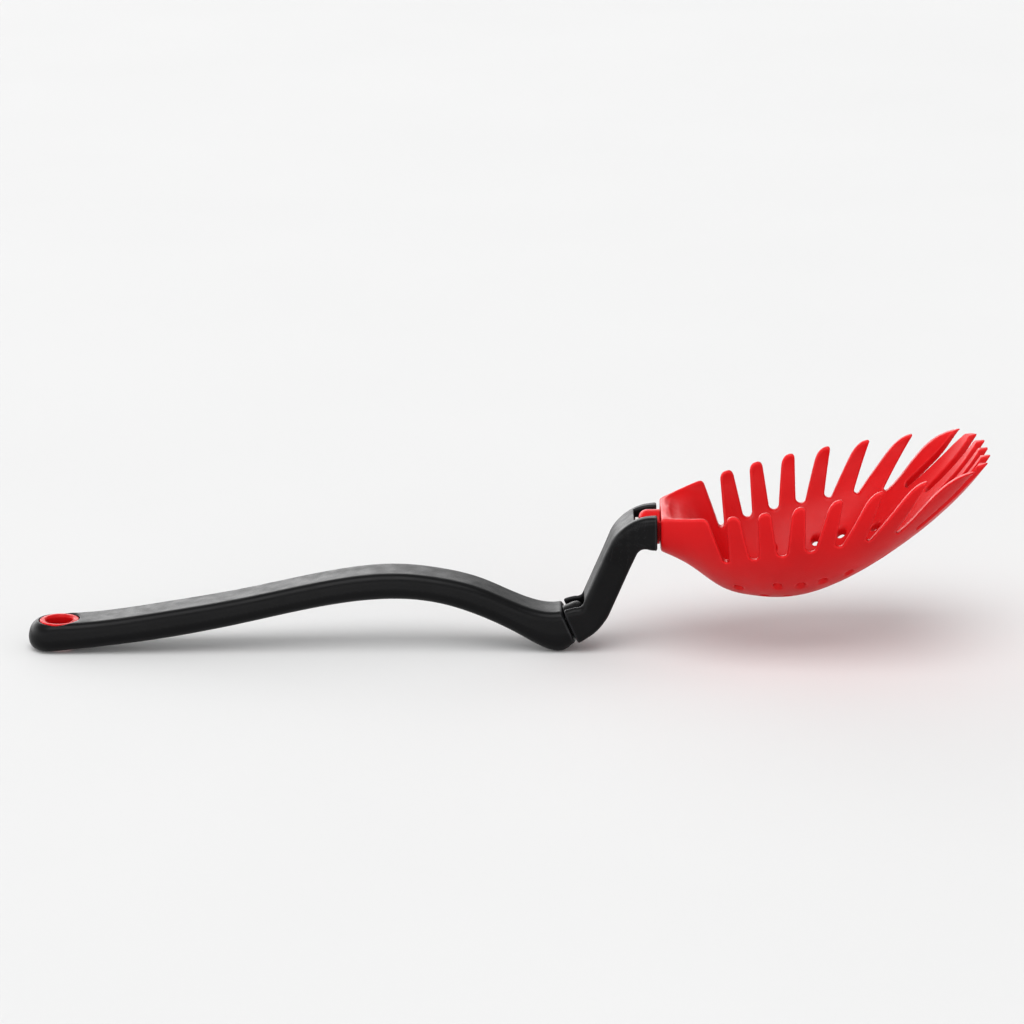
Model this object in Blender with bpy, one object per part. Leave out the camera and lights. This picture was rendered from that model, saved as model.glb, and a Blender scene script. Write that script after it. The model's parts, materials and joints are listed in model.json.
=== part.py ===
"""Slotted pasta spoon with a swivelling elbow, built as an assembly of separate pieces.

The long black handle ends in a swivel, an elbow link ends in a second swivel, and a red toothed
bowl sits on that. Each swivel turns half a turn, so the bowl becomes a shallow server or a ladle.
Units are metres and +Z is up. The spoon lies as on a table: it touches the plane z = 0 under the
hanging end and just behind the first swivel, and x = 0 is half way along its length.
"""

import math

import bmesh
import bpy
import numpy as np
from mathutils import Matrix, Vector

# Main lengths
HANDLE_LENGTH = 0.1885
ELBOW_RUN = 0.0297
ELBOW_RISE = 0.0340
HEAD_LENGTH = 0.1133
FIRST_SWIVEL_HEIGHT = 0.0092
FIRST_SWIVEL_TILT = math.radians(23.7)

# Handle: heights of its top and of its underside, each at its distance back from the first swivel
HANDLE_TOP_LINE = (
    (0.1885, 0.0105),
    (0.1700, 0.0110),
    (0.1420, 0.0147),
    (0.1140, 0.0196),
    (0.0861, 0.0255),
    (0.0584, 0.0283),
    (0.0446, 0.0267),
    (0.0309, 0.0231),
    (0.0102, 0.0148),
    (0.0060, 0.0144),
    (0.0032, 0.0147),
)
HANDLE_UNDER_LINE = (
    (0.1885, -0.0008),
    (0.1800, -0.0002),
    (0.1700, 0.0008),
    (0.1420, 0.0044),
    (0.1140, 0.0098),
    (0.0861, 0.0159),
    (0.0650, 0.0185),
    (0.0446, 0.0168),
    (0.0309, 0.0121),
    (0.0170, 0.0051),
    (0.0102, 0.0012),
    (0.0062, -0.0003),
    (0.0030, -0.0004),
    (-0.0019, 0.0031),
)
HANDLE_WIDTH = 0.0180
HANDLE_BEND_LENGTH = 0.043
HANDLE_FACE_LENGTH = 0.030
HANDLE_TOP_INSET = 0.0022
HANDLE_TOP_ROUND = 0.0017
HANDLE_PLAN_ROUND = 0.0085
HANDLE_SIDE_ROUND = 0.0046
UNDERSIDE_POWER = 2.7

# Hanging ring
RING_FROM_END = 0.0110
RING_HOLE_RADIUS = 0.0047
RING_BARREL_RADIUS = 0.0059
RING_FLANGE_RADIUS = 0.0068
RING_FLANGE_THICKNESS = 0.0015
RING_RECESS = 0.0002
RING_LIP = 0.0005
RING_FOOT_CLEARANCE = 0.0010

# Elbow
ELBOW_MID_THICKNESS = 0.0100
ELBOW_JOINT1_WIDTH = 0.0182
ELBOW_MID_WIDTH = 0.0174
ELBOW_JOINT2_WIDTH = 0.0236
ELBOW_TAPER_LENGTH = 0.010
ELBOW_FLARE_LENGTH = 0.020
ELBOW_LOWER_REACH = 0.0080
ELBOW_UPPER_REACH = 0.0090
ELBOW_LOWER_BEND = 0.0095
ELBOW_UPPER_BEND = 0.0100
ELBOW_EDGE_ROUND = 0.0012

# Swivels: both share one set of parts
JOINT1_THICKNESS = 0.0128
JOINT2_THICKNESS = 0.0118
JOINT1_SLIT = 0.0007
JOINT2_SLIT = 0.0012
SPIGOT_RADIUS = 0.0060
SPIGOT_LENGTH = 0.0064
SPIGOT_NOSE_ROUND = 0.0022
FORK_DEPTH = 0.0077
PLUG_WIDTH = 0.0130
PLUG_HEIGHT = 0.0070
PLUG_LENGTH = 0.0044
SOCKET_DEPTH = 0.0084
AXLE_RADIUS = 0.0015
AXLE_SHANK = 0.0029
AXLE_TAIL = 0.0035
AXLE_FLAT_OFFSET = 0.00115
AXLE_CHAMFER = 0.0003
AXLE_STEP = 0.0001
CLIP_GROOVE_RADIUS = 0.00115
CLIP_RADIUS = 0.0030
CLIP_THICKNESS = 0.0006
CLIP_MOUTH = math.radians(70)
WASHER_RADIUS = 0.0029
WASHER_THICKNESS = 0.0003
WASHER_WAVE = 0.0001
WASHER_WAVES = 3
BUSH_RADIUS = 0.0024
BUSH_FLANGE_RADIUS = 0.0032
BUSH_FLANGE_LENGTH = 0.0022
BUSH_LIP = 0.0005
SEAL_SECTION = 0.0008
SPRING_WIDTH = 0.0010
SPRING_GAUGE = 0.00035
SPRING_REACH = 0.0045
SPRING_FOOT = 0.0009
DOWEL_RADIUS = 0.0010
DOWEL_SPREAD = 0.0044
DOWEL_TOP = 0.0025
DOWEL_HANDLE_FOOT = 0.0054
DOWEL_HEAD_FOOT = 0.0072
STOP_INNER_RADIUS = 0.0040
STOP_OUTER_RADIUS = 0.0053
STOP_HALF_ANGLE = math.radians(10)
STOP_PLAY_ANGLE = math.radians(4)
STOP_DEPTH = 0.0014

# Clearances
SEAT_GAP = 0.0002
RUNNING_GAP = 0.00008
FACE_GAP = 0.0003

# Bowl: each line gives values at shares of the head's length, and heights are from the second swivel's axis
WALL = 0.0023
FRONT_EXTRA_WALL = 0.0003
FRONT_WALL_START = 0.60
FRONT_WALL_END = 0.90
RIM_REAR_HEIGHT = 0.0064
RIM_SLOPE = 0.1943
RIM_ARCH = 0.0011
KEEL_LINE = (
    (0.0106, -0.0075),
    (0.0953, -0.0124),
    (0.1933, -0.0208),
    (0.2913, -0.0242),
    (0.3530, -0.0248),
    (0.4378, -0.0237),
    (0.5825, -0.0167),
    (0.7273, -0.0056),
    (0.8676, 0.0082),
    (0.9656, 0.0217),
    (1.0150, 0.0307),
)
HALF_WIDTH_LINE = (
    (0.0106, 0.0139),
    (0.1421, 0.0260),
    (0.3177, 0.0340),
    (0.5119, 0.0359),
    (0.7944, 0.0328),
    (1.0150, 0.0292),
)
SECTION_POWER_LINE = (
    (0.0106, 2.7),
    (0.1236, 2.0),
    (0.2648, 1.7),
    (0.5914, 2.0),
    (1.0150, 2.0),
)
SHELF_HEIGHT = 0.0054
SHELF_LENGTH = 0.0108
SHELF_SLOPE = 1.7
SHELF_ROUND = 0.0030
FLOOR_ROUND = 0.0050
NOSE_HALF_WIDTH = 0.0293
NOSE_SETBACK = 0.0072
NOSE_POWER = 3.2
NOSE_START = 0.6178 * HEAD_LENGTH

# Bowl: teeth along each side
SIDE_TEETH = 6
FIRST_NOTCH = 0.2030 * HEAD_LENGTH
NOTCH_PITCH = 0.0846 * HEAD_LENGTH
NOTCH_BOW = 0.0006
NOTCH_DEPTH = 0.0174
NOTCH_RADII = (0.0010, 0.0017, 0.0018, 0.0018, 0.0014, 0.0009, 0.0006)
NOTCH_REAR_ANGLE = 200
NOTCH_REAR_TURN = 48
NOTCH_FRONT_ANGLE = 352
NOTCH_FRONT_TURN = 34
TOOTH_TIP_HALF_WIDTH = 0.0022
TOOTH_ROUND = 0.0026
TOOTH_REAR_ROUND_GROWTH = 0.0045
TOOTH_FRONT_SHARPENING = 0.80
TOOTH_LEAN_FIRST = -0.0030
TOOTH_LEAN_STEP = 0.00037
TOOTH_LEAN_GROWTH = 0.00053
REAR_WALL_LENGTH = 0.1450 * HEAD_LENGTH
REAR_WALL_ROUND = 0.0020
FRONT_EDGE_END = 0.9356 * HEAD_LENGTH
FRONT_EDGE_BOW = 0.0021

# Bowl: slots between the front tines, and drain holes
FRONT_SLOTS = 6
SLOT_SPACING = 0.0099
SLOT_REAR = 0.8550 * HEAD_LENGTH
SLOT_REAR_CURVE = 16.0
SLOT_REAR_WIDTH = 0.0038
SLOT_TIP_WIDTH = 0.0056
SLOT_OUTER_SHARE = 0.62
SLOT_FAN = 0.90
TINE_POINT_LENGTH = 0.0080
TINE_POINT_POWER = 1.8
TINE_TIP_WIDTH = 0.0016
HOLE_RADIUS = 0.0016
# Each hole's share of the head's length, and its share of the bowl's half width at that place
OUTER_HOLES = (
    (0.246, 0.430),
    (0.360, 0.540),
    (0.430, 0.545),
    (0.495, 0.560),
    (0.572, 0.550),
    (0.674, 0.420),
)
INNER_HOLES = (
    (0.325, 0.255),
    (0.396, 0.255),
    (0.467, 0.255),
    (0.538, 0.255),
    (0.609, 0.255),
)

# How far cutters run past the pieces
TOOL_MARGIN = 0.0040
TOOL_OVERLAP = 0.0005
TOOL_REACH = 0.0600
TROUGH_LID = 0.0040

# Facet counts
TROUGH_STATIONS = 30
TROUGH_FACETS = 22
SMALL_FACETS = 24
LARGE_FACETS = 36

BLACK = (0.018, 0.018, 0.020)
RED = (0.72, 0.012, 0.020)
STEEL = (0.62, 0.63, 0.65)
ACETAL = (0.80, 0.80, 0.76)
RUBBER = (0.03, 0.03, 0.03)


class SmoothCurve:
    """A cubic curve through points, with its slope free or given at either end."""

    def __init__(self, points, first_slope=None, last_slope=None):
        self.x = np.array([point[0] for point in points])
        self.z = np.array([point[1] for point in points])
        count = len(points)
        gaps = np.diff(self.x)
        steps = np.diff(self.z) / gaps
        rows = np.zeros((count, count))
        right = np.zeros(count)
        for i in range(1, count - 1):
            rows[i, i - 1] = 1 / gaps[i - 1]
            rows[i, i] = 2 / gaps[i - 1] + 2 / gaps[i]
            rows[i, i + 1] = 1 / gaps[i]
            right[i] = 3 * (steps[i - 1] / gaps[i - 1] + steps[i] / gaps[i])
        for end, inner, slope, step in ((0, 1, first_slope, steps[0]), (-1, -2, last_slope, steps[-1])):
            rows[end, end] = 2 if slope is None else 1
            rows[end, inner] = 1 if slope is None else 0
            right[end] = 3 * step if slope is None else slope
        self.slopes = np.linalg.solve(rows, right)

    def piece(self, x):
        i = int(np.clip(np.searchsorted(self.x, x) - 1, 0, len(self.x) - 2))
        length = self.x[i + 1] - self.x[i]
        return i, length, min(max((x - self.x[i]) / length, 0.0), 1.0)

    def height(self, x):
        i, length, t = self.piece(x)
        rise = self.z[i + 1] - self.z[i]
        start = self.slopes[i] * length
        end = self.slopes[i + 1] * length
        return float(self.z[i] + start * t + (3 * rise - 2 * start - end) * t ** 2
                     + (start + end - 2 * rise) * t ** 3)

    def slope(self, x):
        i, length, t = self.piece(x)
        rise = self.z[i + 1] - self.z[i]
        start = self.slopes[i] * length
        end = self.slopes[i + 1] * length
        return float((start + 2 * (3 * rise - 2 * start - end) * t
                      + 3 * (start + end - 2 * rise) * t ** 2) / length)


def smooth_step(t):
    t = min(max(t, 0.0), 1.0)
    return t * t * (3 - 2 * t)


def material(name, color, roughness, metallic=0.0):
    made = bpy.data.materials.new(name)
    made.use_nodes = True
    shader = made.node_tree.nodes["Principled BSDF"]
    shader.inputs["Base Color"].default_value = (*color, 1.0)
    shader.inputs["Roughness"].default_value = roughness
    shader.inputs["Metallic"].default_value = metallic
    return made


def make_object(name, bm, frame, paint=None, parent=None, sharp_angle=40):
    """Turn a bmesh drawn in a frame into an object standing in that frame."""
    bmesh.ops.recalc_face_normals(bm, faces=bm.faces)
    mesh = bpy.data.meshes.new(name)
    bm.to_mesh(mesh)
    bm.free()
    mesh.shade_smooth()
    mesh.set_sharp_from_angle(angle=math.radians(sharp_angle))
    made = bpy.data.objects.new(name, mesh)
    bpy.context.scene.collection.objects.link(made)
    if paint is not None:
        mesh.materials.append(paint)
    if parent is not None:
        made.parent = parent
        made.matrix_parent_inverse = Matrix.Translation(-parent.location)
    made.matrix_basis = frame
    return made


def make_pivot(name, position):
    pivot = bpy.data.objects.new(name, None)
    pivot.location = position
    bpy.context.scene.collection.objects.link(pivot)
    return pivot


def together(tools):
    """Several closed tools as one."""
    whole = bmesh.new()
    for tool in tools:
        mesh = bpy.data.meshes.new("tool")
        tool.to_mesh(mesh)
        tool.free()
        whole.from_mesh(mesh)
        bpy.data.meshes.remove(mesh)
    return whole


def shape(target, tool_name, bm, frame, operation="DIFFERENCE", overlapping=False):
    """Cut or join a closed tool, or several that may overlap, into a piece with a Boolean."""
    tool = make_object(tool_name, bm, frame)
    tool.hide_render = True
    tool.display_type = "WIRE"
    modifier = target.modifiers.new(tool_name, "BOOLEAN")
    modifier.operation = operation
    modifier.solver = "EXACT"
    modifier.use_self = overlapping
    modifier.object = tool
    return tool


def loft(rings):
    """A closed solid through rings of equally many points, with flat ends."""
    bm = bmesh.new()
    loops = [[bm.verts.new(point) for point in ring] for ring in rings]
    count = len(rings[0])
    for near, far in zip(loops, loops[1:]):
        for i in range(count):
            j = (i + 1) % count
            bm.faces.new((near[i], near[j], far[j], far[i]))
    bm.faces.new(loops[0])
    bm.faces.new(loops[-1])
    return bm


def turned(profile, facets, hollow=False):
    """A body turned about the x axis from (x, radius) points. Hollow ones have a closed profile."""
    turns = [2 * math.pi * k / facets for k in range(facets)]
    rings = [[(x, radius * math.cos(a), radius * math.sin(a)) for a in turns] for x, radius in profile]
    if not hollow:
        return loft(rings)
    bm = bmesh.new()
    loops = [[bm.verts.new(point) for point in ring] for ring in rings]
    for near, far in zip(loops, loops[1:] + loops[:1]):
        for i in range(facets):
            j = (i + 1) % facets
            bm.faces.new((near[i], near[j], far[j], far[i]))
    return bm


def extruded(outline, low, high, axis):
    """A flat outline pushed along an axis. The outline's two numbers are the other two axes."""
    def point(pair, along):
        values = list(pair)
        values.insert(axis, along)
        return values

    return loft([[point(pair, low) for pair in outline], [point(pair, high) for pair in outline]])


def box(x0, x1, half_y, half_z):
    outline = ((-half_y, -half_z), (half_y, -half_z), (half_y, half_z), (-half_y, half_z))
    return extruded(outline, x0, x1, 0)


# Derived places
OVERALL_LENGTH = HANDLE_LENGTH + ELBOW_RUN + HEAD_LENGTH
SWIVEL1 = Vector((HANDLE_LENGTH - OVERALL_LENGTH / 2, 0, FIRST_SWIVEL_HEIGHT))
SWIVEL2 = SWIVEL1 + Vector((ELBOW_RUN, 0, ELBOW_RISE))
# Each swivel's frame has x along its axis into the elbow, starting at the elbow's end plane
FRAME1 = Matrix.Translation(SWIVEL1) @ Matrix.Rotation(-FIRST_SWIVEL_TILT, 4, "Y")
FRAME2 = Matrix.Translation(SWIVEL2) @ Matrix.Rotation(math.pi, 4, "Z")
HEAD_FRAME = Matrix.Translation(SWIVEL2)
WORLD = Matrix.Identity(4)


# Handle
def side_line(points):
    """A line of the handle's side view, as heights over places measured from the first swivel."""
    return SmoothCurve([(-back, height) for back, height in points])


TOP_LINE = side_line(HANDLE_TOP_LINE)
UNDER_LINE = side_line(HANDLE_UNDER_LINE)


def handle_section(thickness, width_share=1.0, thickness_share=1.0):
    """Flat top with rounded edges, bulging sides and a round belly, as (y, up) points."""
    flat = HANDLE_WIDTH / 2 - HANDLE_TOP_INSET
    half = []
    for angle in (90, 55, 20):
        turn = math.radians(angle)
        half.append((flat + HANDLE_TOP_ROUND * math.cos(turn),
                     thickness / 2 - HANDLE_TOP_ROUND * (1 - math.sin(turn))))
    for angle in (0, 20, 38, 55, 70):
        turn = math.radians(angle)
        half.append((HANDLE_WIDTH / 2 * math.cos(turn) ** (2 / UNDERSIDE_POWER),
                     -thickness / 2 * math.sin(turn) ** (2 / UNDERSIDE_POWER)))
    whole = half + [(0.0, -thickness / 2)] + [(-y, up) for y, up in reversed(half)]
    return [(y * width_share, up * thickness_share) for y, up in whole]


def round_end(distance, radius):
    """How full a section is at a distance from a rounded end."""
    return math.sqrt(1 - (1 - min(distance / radius, 1.0)) ** 2)


def face_point(height):
    """A point of the handle's end face, which is square to the first swivel."""
    return FRAME1 @ Vector((-JOINT1_SLIT, 0, height))


def handle_ends(x):
    """Top and underside points of one section. Sections lean more and more towards the end face."""
    lean = smooth_step(1 + x / HANDLE_FACE_LENGTH)
    ends = []
    for line, height in ((TOP_LINE, JOINT1_THICKNESS / 2), (UNDER_LINE, -JOINT1_THICKNESS / 2)):
        place = x + (face_point(height).x - SWIVEL1.x) * lean
        ends.append(Vector((SWIVEL1.x + place, 0, line.height(place))))
    return ends


def handle_middle(x):
    """Middle of a section, the upward direction in it, and its thickness."""
    top, low = handle_ends(x)
    return (top + low) / 2, (top - low).normalized(), (top - low).length


def handle_ring(x):
    middle, up, thickness = handle_middle(x)
    distance = x + HANDLE_LENGTH
    section = handle_section(thickness, round_end(distance, HANDLE_PLAN_ROUND),
                             round_end(distance, HANDLE_SIDE_ROUND))
    ring = []
    for y, height in section:
        point = middle + up * height
        ring.append(Vector((point.x, y, max(point.z, 0.0))))
    return ring


def handle_face():
    """The last ring, in the plane of the first swivel's slit."""
    return [face_point(height) + Vector((0, y, 0)) for y, height in handle_section(JOINT1_THICKNESS)]


def handle_stations():
    start = -HANDLE_LENGTH
    round_length = max(HANDLE_PLAN_ROUND, HANDLE_SIDE_ROUND)
    rounding = [start + round_length * (1 - math.cos(math.radians(a))) for a in (12, 24, 38, 54, 72)]
    straight = np.linspace(start + round_length, -HANDLE_BEND_LENGTH, 14)
    bend = np.linspace(-HANDLE_BEND_LENGTH, -2 * JOINT1_SLIT, 15)[1:]
    return [*rounding, *straight, *bend]


def ring_frame():
    middle, up, thickness = handle_middle(RING_FROM_END - HANDLE_LENGTH)
    return Matrix.Translation(middle) @ Matrix.Rotation(-math.atan2(up.z, up.x), 4, "Y"), thickness / 2


def make_handle(black, red, pivot):
    rings = [handle_ring(x) for x in handle_stations()] + [handle_face()]
    grip = make_object("handle_grip", loft(rings), WORLD, black, pivot)
    place, top = ring_frame()
    flange_foot = top - RING_RECESS - RING_FLANGE_THICKNESS
    bore = RING_BARREL_RADIUS + SEAT_GAP
    ledge = RING_FOOT_CLEARANCE - top - SEAT_GAP
    bore_profile = [
        (-top - TOOL_MARGIN, RING_HOLE_RADIUS),
        (ledge, RING_HOLE_RADIUS),
        (ledge, bore),
        (flange_foot - SEAT_GAP, bore),
        (flange_foot - SEAT_GAP, RING_FLANGE_RADIUS + SEAT_GAP),
        (top + TOOL_MARGIN, RING_FLANGE_RADIUS + SEAT_GAP),
    ]
    shape(grip, "ring_seat", turned(bore_profile, LARGE_FACETS), place)
    face = top - RING_RECESS
    foot = RING_FOOT_CLEARANCE - top
    ring_profile = [
        (foot, RING_HOLE_RADIUS),
        (face - RING_LIP, RING_HOLE_RADIUS),
        (face, RING_HOLE_RADIUS + RING_LIP),
        (face, RING_FLANGE_RADIUS - RING_LIP / 2),
        (face - RING_LIP / 2, RING_FLANGE_RADIUS),
        (flange_foot, RING_FLANGE_RADIUS),
        (flange_foot, RING_BARREL_RADIUS),
        (foot, RING_BARREL_RADIUS),
    ]
    make_object("hang_ring", turned(ring_profile, LARGE_FACETS, True), place, red, pivot, 30)
    return grip


# Elbow
def bent_path(start, first_corner, second_corner, finish, radii):
    """Positions and directions along straight runs joined by two arcs, in the x-z plane."""
    corners = [start, first_corner, second_corner, finish]
    stations = []
    for i in (1, 2):
        into = (corners[i] - corners[i - 1]).normalized()
        out = (corners[i + 1] - corners[i]).normalized()
        first = math.atan2(into.z, into.x)
        last = math.atan2(out.z, out.x)
        reach = radii[i - 1] * math.tan(abs(last - first) / 2)
        side = 1 if last > first else -1
        begin = corners[i] - into * reach
        centre = begin + Vector((-into.z, 0, into.x)) * side * radii[i - 1]
        for angle in np.linspace(first, last, 8):
            away = Vector((math.sin(angle), 0, -math.cos(angle))) * side
            stations.append((centre + away * radii[i - 1], angle))
    first_angle = stations[0][1]
    last_angle = stations[-1][1]
    return [(start, first_angle), *stations, (finish, last_angle)]


def elbow_size(from_start, to_finish):
    """Width and thickness of the elbow at a place along its path."""
    lower = smooth_step(1 - from_start / ELBOW_TAPER_LENGTH)
    upper = smooth_step(1 - to_finish / ELBOW_TAPER_LENGTH)
    flare = max(1 - to_finish / ELBOW_FLARE_LENGTH, 0.0)
    width = (ELBOW_MID_WIDTH + (ELBOW_JOINT1_WIDTH - ELBOW_MID_WIDTH) * lower
             + (ELBOW_JOINT2_WIDTH - ELBOW_MID_WIDTH) * flare)
    thickness = (ELBOW_MID_THICKNESS + (JOINT1_THICKNESS - ELBOW_MID_THICKNESS) * lower
                 + (JOINT2_THICKNESS - ELBOW_MID_THICKNESS) * upper)
    return width, thickness


def rounded_rectangle(width, height, radius):
    outline = []
    for turn, side_y, side_z in ((0, 1, 1), (90, -1, 1), (180, -1, -1), (270, 1, -1)):
        for step in (0, 45, 90):
            angle = math.radians(turn + step)
            outline.append((side_y * (width / 2 - radius) + radius * math.cos(angle),
                            side_z * (height / 2 - radius) + radius * math.sin(angle)))
    return outline


def elbow_rings():
    along = Vector((math.cos(FIRST_SWIVEL_TILT), 0, math.sin(FIRST_SWIVEL_TILT)))
    lower_corner = SWIVEL1 + along * ELBOW_LOWER_REACH
    upper_corner = SWIVEL2 - Vector((ELBOW_UPPER_REACH, 0, 0))
    path = bent_path(SWIVEL1, lower_corner, upper_corner, SWIVEL2, (ELBOW_LOWER_BEND, ELBOW_UPPER_BEND))
    lengths = [0.0]
    for (before, _), (after, _) in zip(path, path[1:]):
        lengths.append(lengths[-1] + (after - before).length)
    rings = []
    for (centre, angle), length in zip(path, lengths):
        width, thickness = elbow_size(length, lengths[-1] - length)
        up = Vector((-math.sin(angle), 0, math.cos(angle)))
        section = rounded_rectangle(width, thickness, ELBOW_EDGE_ROUND)
        rings.append([centre + up * height + Vector((0, y, 0)) for y, height in section])
    return rings


def stop_sector(half_angle_before, half_angle_after, middle, inner, outer, low, high):
    """A block of a ring about the x axis, from angle to angle, between two radii."""
    count = max(2, round((half_angle_before + half_angle_after) / math.radians(12)))
    angles = np.linspace(middle - half_angle_before, middle + half_angle_after, count + 1)
    outline = [(outer * math.cos(a), outer * math.sin(a)) for a in angles]
    outline += [(inner * math.cos(a), inner * math.sin(a)) for a in reversed(angles)]
    return extruded(outline, low, high, 0)


def make_elbow(black, pivot):
    link = make_object("elbow_link", loft(elbow_rings()), WORLD, black, pivot)
    fork_reach = max(JOINT1_THICKNESS, JOINT2_THICKNESS)
    fork_half_width = SPIGOT_RADIUS + FACE_GAP
    # The stop's groove runs over the top at the first swivel and under the axle at the second
    for label, frame, middle in (("handle", FRAME1, math.pi / 2), ("head", FRAME2, -math.pi / 2)):
        slot = box(-TOOL_MARGIN / 2, FORK_DEPTH, fork_half_width, fork_reach)
        shape(link, label + "_fork_slot", slot, frame)
        bore_radius = AXLE_RADIUS + SEAT_GAP / 2
        bore = [(FORK_DEPTH - TOOL_OVERLAP, bore_radius), (FORK_DEPTH + AXLE_SHANK + SEAT_GAP, bore_radius)]
        shape(link, label + "_axle_bore", turned(bore, SMALL_FACETS), frame)
        sweep = math.pi / 2 + STOP_HALF_ANGLE + STOP_PLAY_ANGLE
        groove = stop_sector(sweep, sweep, middle, STOP_INNER_RADIUS - SEAT_GAP,
                             STOP_OUTER_RADIUS + SEAT_GAP, FORK_DEPTH - TOOL_OVERLAP,
                             FORK_DEPTH + STOP_DEPTH)
        shape(link, label + "_stop_groove", groove, frame)
    return link


# Swivel parts, drawn in a swivel frame: x runs along the axle into the elbow
WASHER_MIDDLE = -PLUG_LENGTH - SEAT_GAP - WASHER_WAVE - WASHER_THICKNESS
CLIP_FRONT = WASHER_MIDDLE - WASHER_WAVE - WASHER_THICKNESS - SEAT_GAP
CLIP_REAR = CLIP_FRONT - CLIP_THICKNESS
SPRING_FRONT = CLIP_REAR - 2 * SEAT_GAP
BUSH_FACE = FORK_DEPTH - FACE_GAP
BUSH_SHOULDER = BUSH_FACE - BUSH_FLANGE_LENGTH
SEAL_POCKET_RADIUS = BUSH_FLANGE_RADIUS - BUSH_LIP
SEAL_POCKET_FLOOR = BUSH_FACE - SEAL_SECTION - 2 * SEAT_GAP
STOP_ANGLES = {"handle": math.pi, "head": 0.0}


def make_spigot(name, slit, stop_angle, frame, paint, pivot):
    """Round boss that turns in the elbow's fork, with a square plug behind it."""
    nose = [(-slit + SEAT_GAP, SPIGOT_RADIUS)]
    for angle in (0, 22.5, 45, 67.5, 90):
        turn = math.radians(angle)
        nose.append((SPIGOT_LENGTH - SPIGOT_NOSE_ROUND * (1 - math.sin(turn)),
                     SPIGOT_RADIUS - SPIGOT_NOSE_ROUND * (1 - math.cos(turn))))
    spigot = make_object(name, turned(nose, LARGE_FACETS), frame, paint, pivot)
    plug = box(-PLUG_LENGTH, -slit / 4, PLUG_WIDTH / 2 - SEAT_GAP, PLUG_HEIGHT / 2 - SEAT_GAP)
    shape(spigot, name + "_plug", plug, frame, "UNION")
    lug = stop_sector(STOP_HALF_ANGLE, STOP_HALF_ANGLE, stop_angle, STOP_INNER_RADIUS, STOP_OUTER_RADIUS,
                      SPIGOT_LENGTH / 2, FORK_DEPTH + STOP_DEPTH - FACE_GAP)
    shape(spigot, name + "_stop_lug", lug, frame, "UNION")
    bore = [
        (-PLUG_LENGTH - TOOL_OVERLAP, BUSH_RADIUS + SEAT_GAP),
        (BUSH_SHOULDER - SEAT_GAP, BUSH_RADIUS + SEAT_GAP),
        (BUSH_SHOULDER - SEAT_GAP, BUSH_FLANGE_RADIUS + SEAT_GAP),
        (SPIGOT_LENGTH + TOOL_OVERLAP, BUSH_FLANGE_RADIUS + SEAT_GAP),
    ]
    shape(spigot, name + "_bore", turned(bore, SMALL_FACETS), frame)
    return spigot


def socket_tool(slit):
    return box(-SOCKET_DEPTH, -slit + TOOL_MARGIN / 2, PLUG_WIDTH / 2, PLUG_HEIGHT / 2)


def dowel(slit, side, foot, top, radius):
    """A round bar along z through the plug, on one side of the axle."""
    bar = turned([(-foot, radius), (top, radius)], SMALL_FACETS // 2)
    middle = -(PLUG_LENGTH + slit) / 2
    upright = Matrix.Rotation(-math.pi / 2, 4, "Y")
    bar.transform(Matrix.Translation((middle, side * DOWEL_SPREAD, 0)) @ upright)
    return bar


def make_bush(name, frame, paint, pivot):
    bore = AXLE_RADIUS + RUNNING_GAP
    profile = [
        (-PLUG_LENGTH + SEAT_GAP, bore),
        (SEAL_POCKET_FLOOR, bore),
        (SEAL_POCKET_FLOOR, SEAL_POCKET_RADIUS),
        (BUSH_FACE, SEAL_POCKET_RADIUS),
        (BUSH_FACE, BUSH_FLANGE_RADIUS),
        (BUSH_SHOULDER, BUSH_FLANGE_RADIUS),
        (BUSH_SHOULDER, BUSH_RADIUS),
        (-PLUG_LENGTH + SEAT_GAP, BUSH_RADIUS),
    ]
    return make_object(name, turned(profile, SMALL_FACETS, True), frame, paint, pivot, 30)


def make_seal(name, frame, paint, pivot):
    middle = (SEAL_POCKET_FLOOR + BUSH_FACE) / 2
    centre_radius = (AXLE_RADIUS + SEAL_POCKET_RADIUS) / 2
    turns = [2 * math.pi * k / 8 for k in range(8)]
    profile = [(middle + SEAL_SECTION / 2 * math.cos(a), centre_radius + SEAL_SECTION / 2 * math.sin(a))
               for a in turns]
    return make_object(name, turned(profile, SMALL_FACETS, True), frame, paint, pivot, 60)


def make_axle(name, frame, paint, pivot):
    """Steel pin: shank moulded into the elbow, clip groove, and a tail with two flats."""
    groove_play = SEAT_GAP / 4
    tail_start = CLIP_REAR - groove_play - AXLE_STEP
    profile = [
        (FORK_DEPTH + AXLE_SHANK, AXLE_RADIUS - AXLE_CHAMFER),
        (FORK_DEPTH + AXLE_SHANK - AXLE_CHAMFER, AXLE_RADIUS),
        (CLIP_FRONT + groove_play, AXLE_RADIUS),
        (CLIP_FRONT + groove_play, CLIP_GROOVE_RADIUS),
        (CLIP_REAR - groove_play, CLIP_GROOVE_RADIUS),
        (CLIP_REAR - groove_play, AXLE_RADIUS),
        (tail_start, AXLE_RADIUS),
        (tail_start - AXLE_STEP, AXLE_RADIUS),
        (-PLUG_LENGTH - AXLE_TAIL, AXLE_RADIUS),
    ]
    bm = turned(profile, SMALL_FACETS)
    for vertex in bm.verts:
        if vertex.co.x < tail_start - AXLE_STEP / 2:
            vertex.co.z = min(max(vertex.co.z, -AXLE_FLAT_OFFSET), AXLE_FLAT_OFFSET)
    return make_object(name, bm, frame, paint, pivot, 30)


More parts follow.
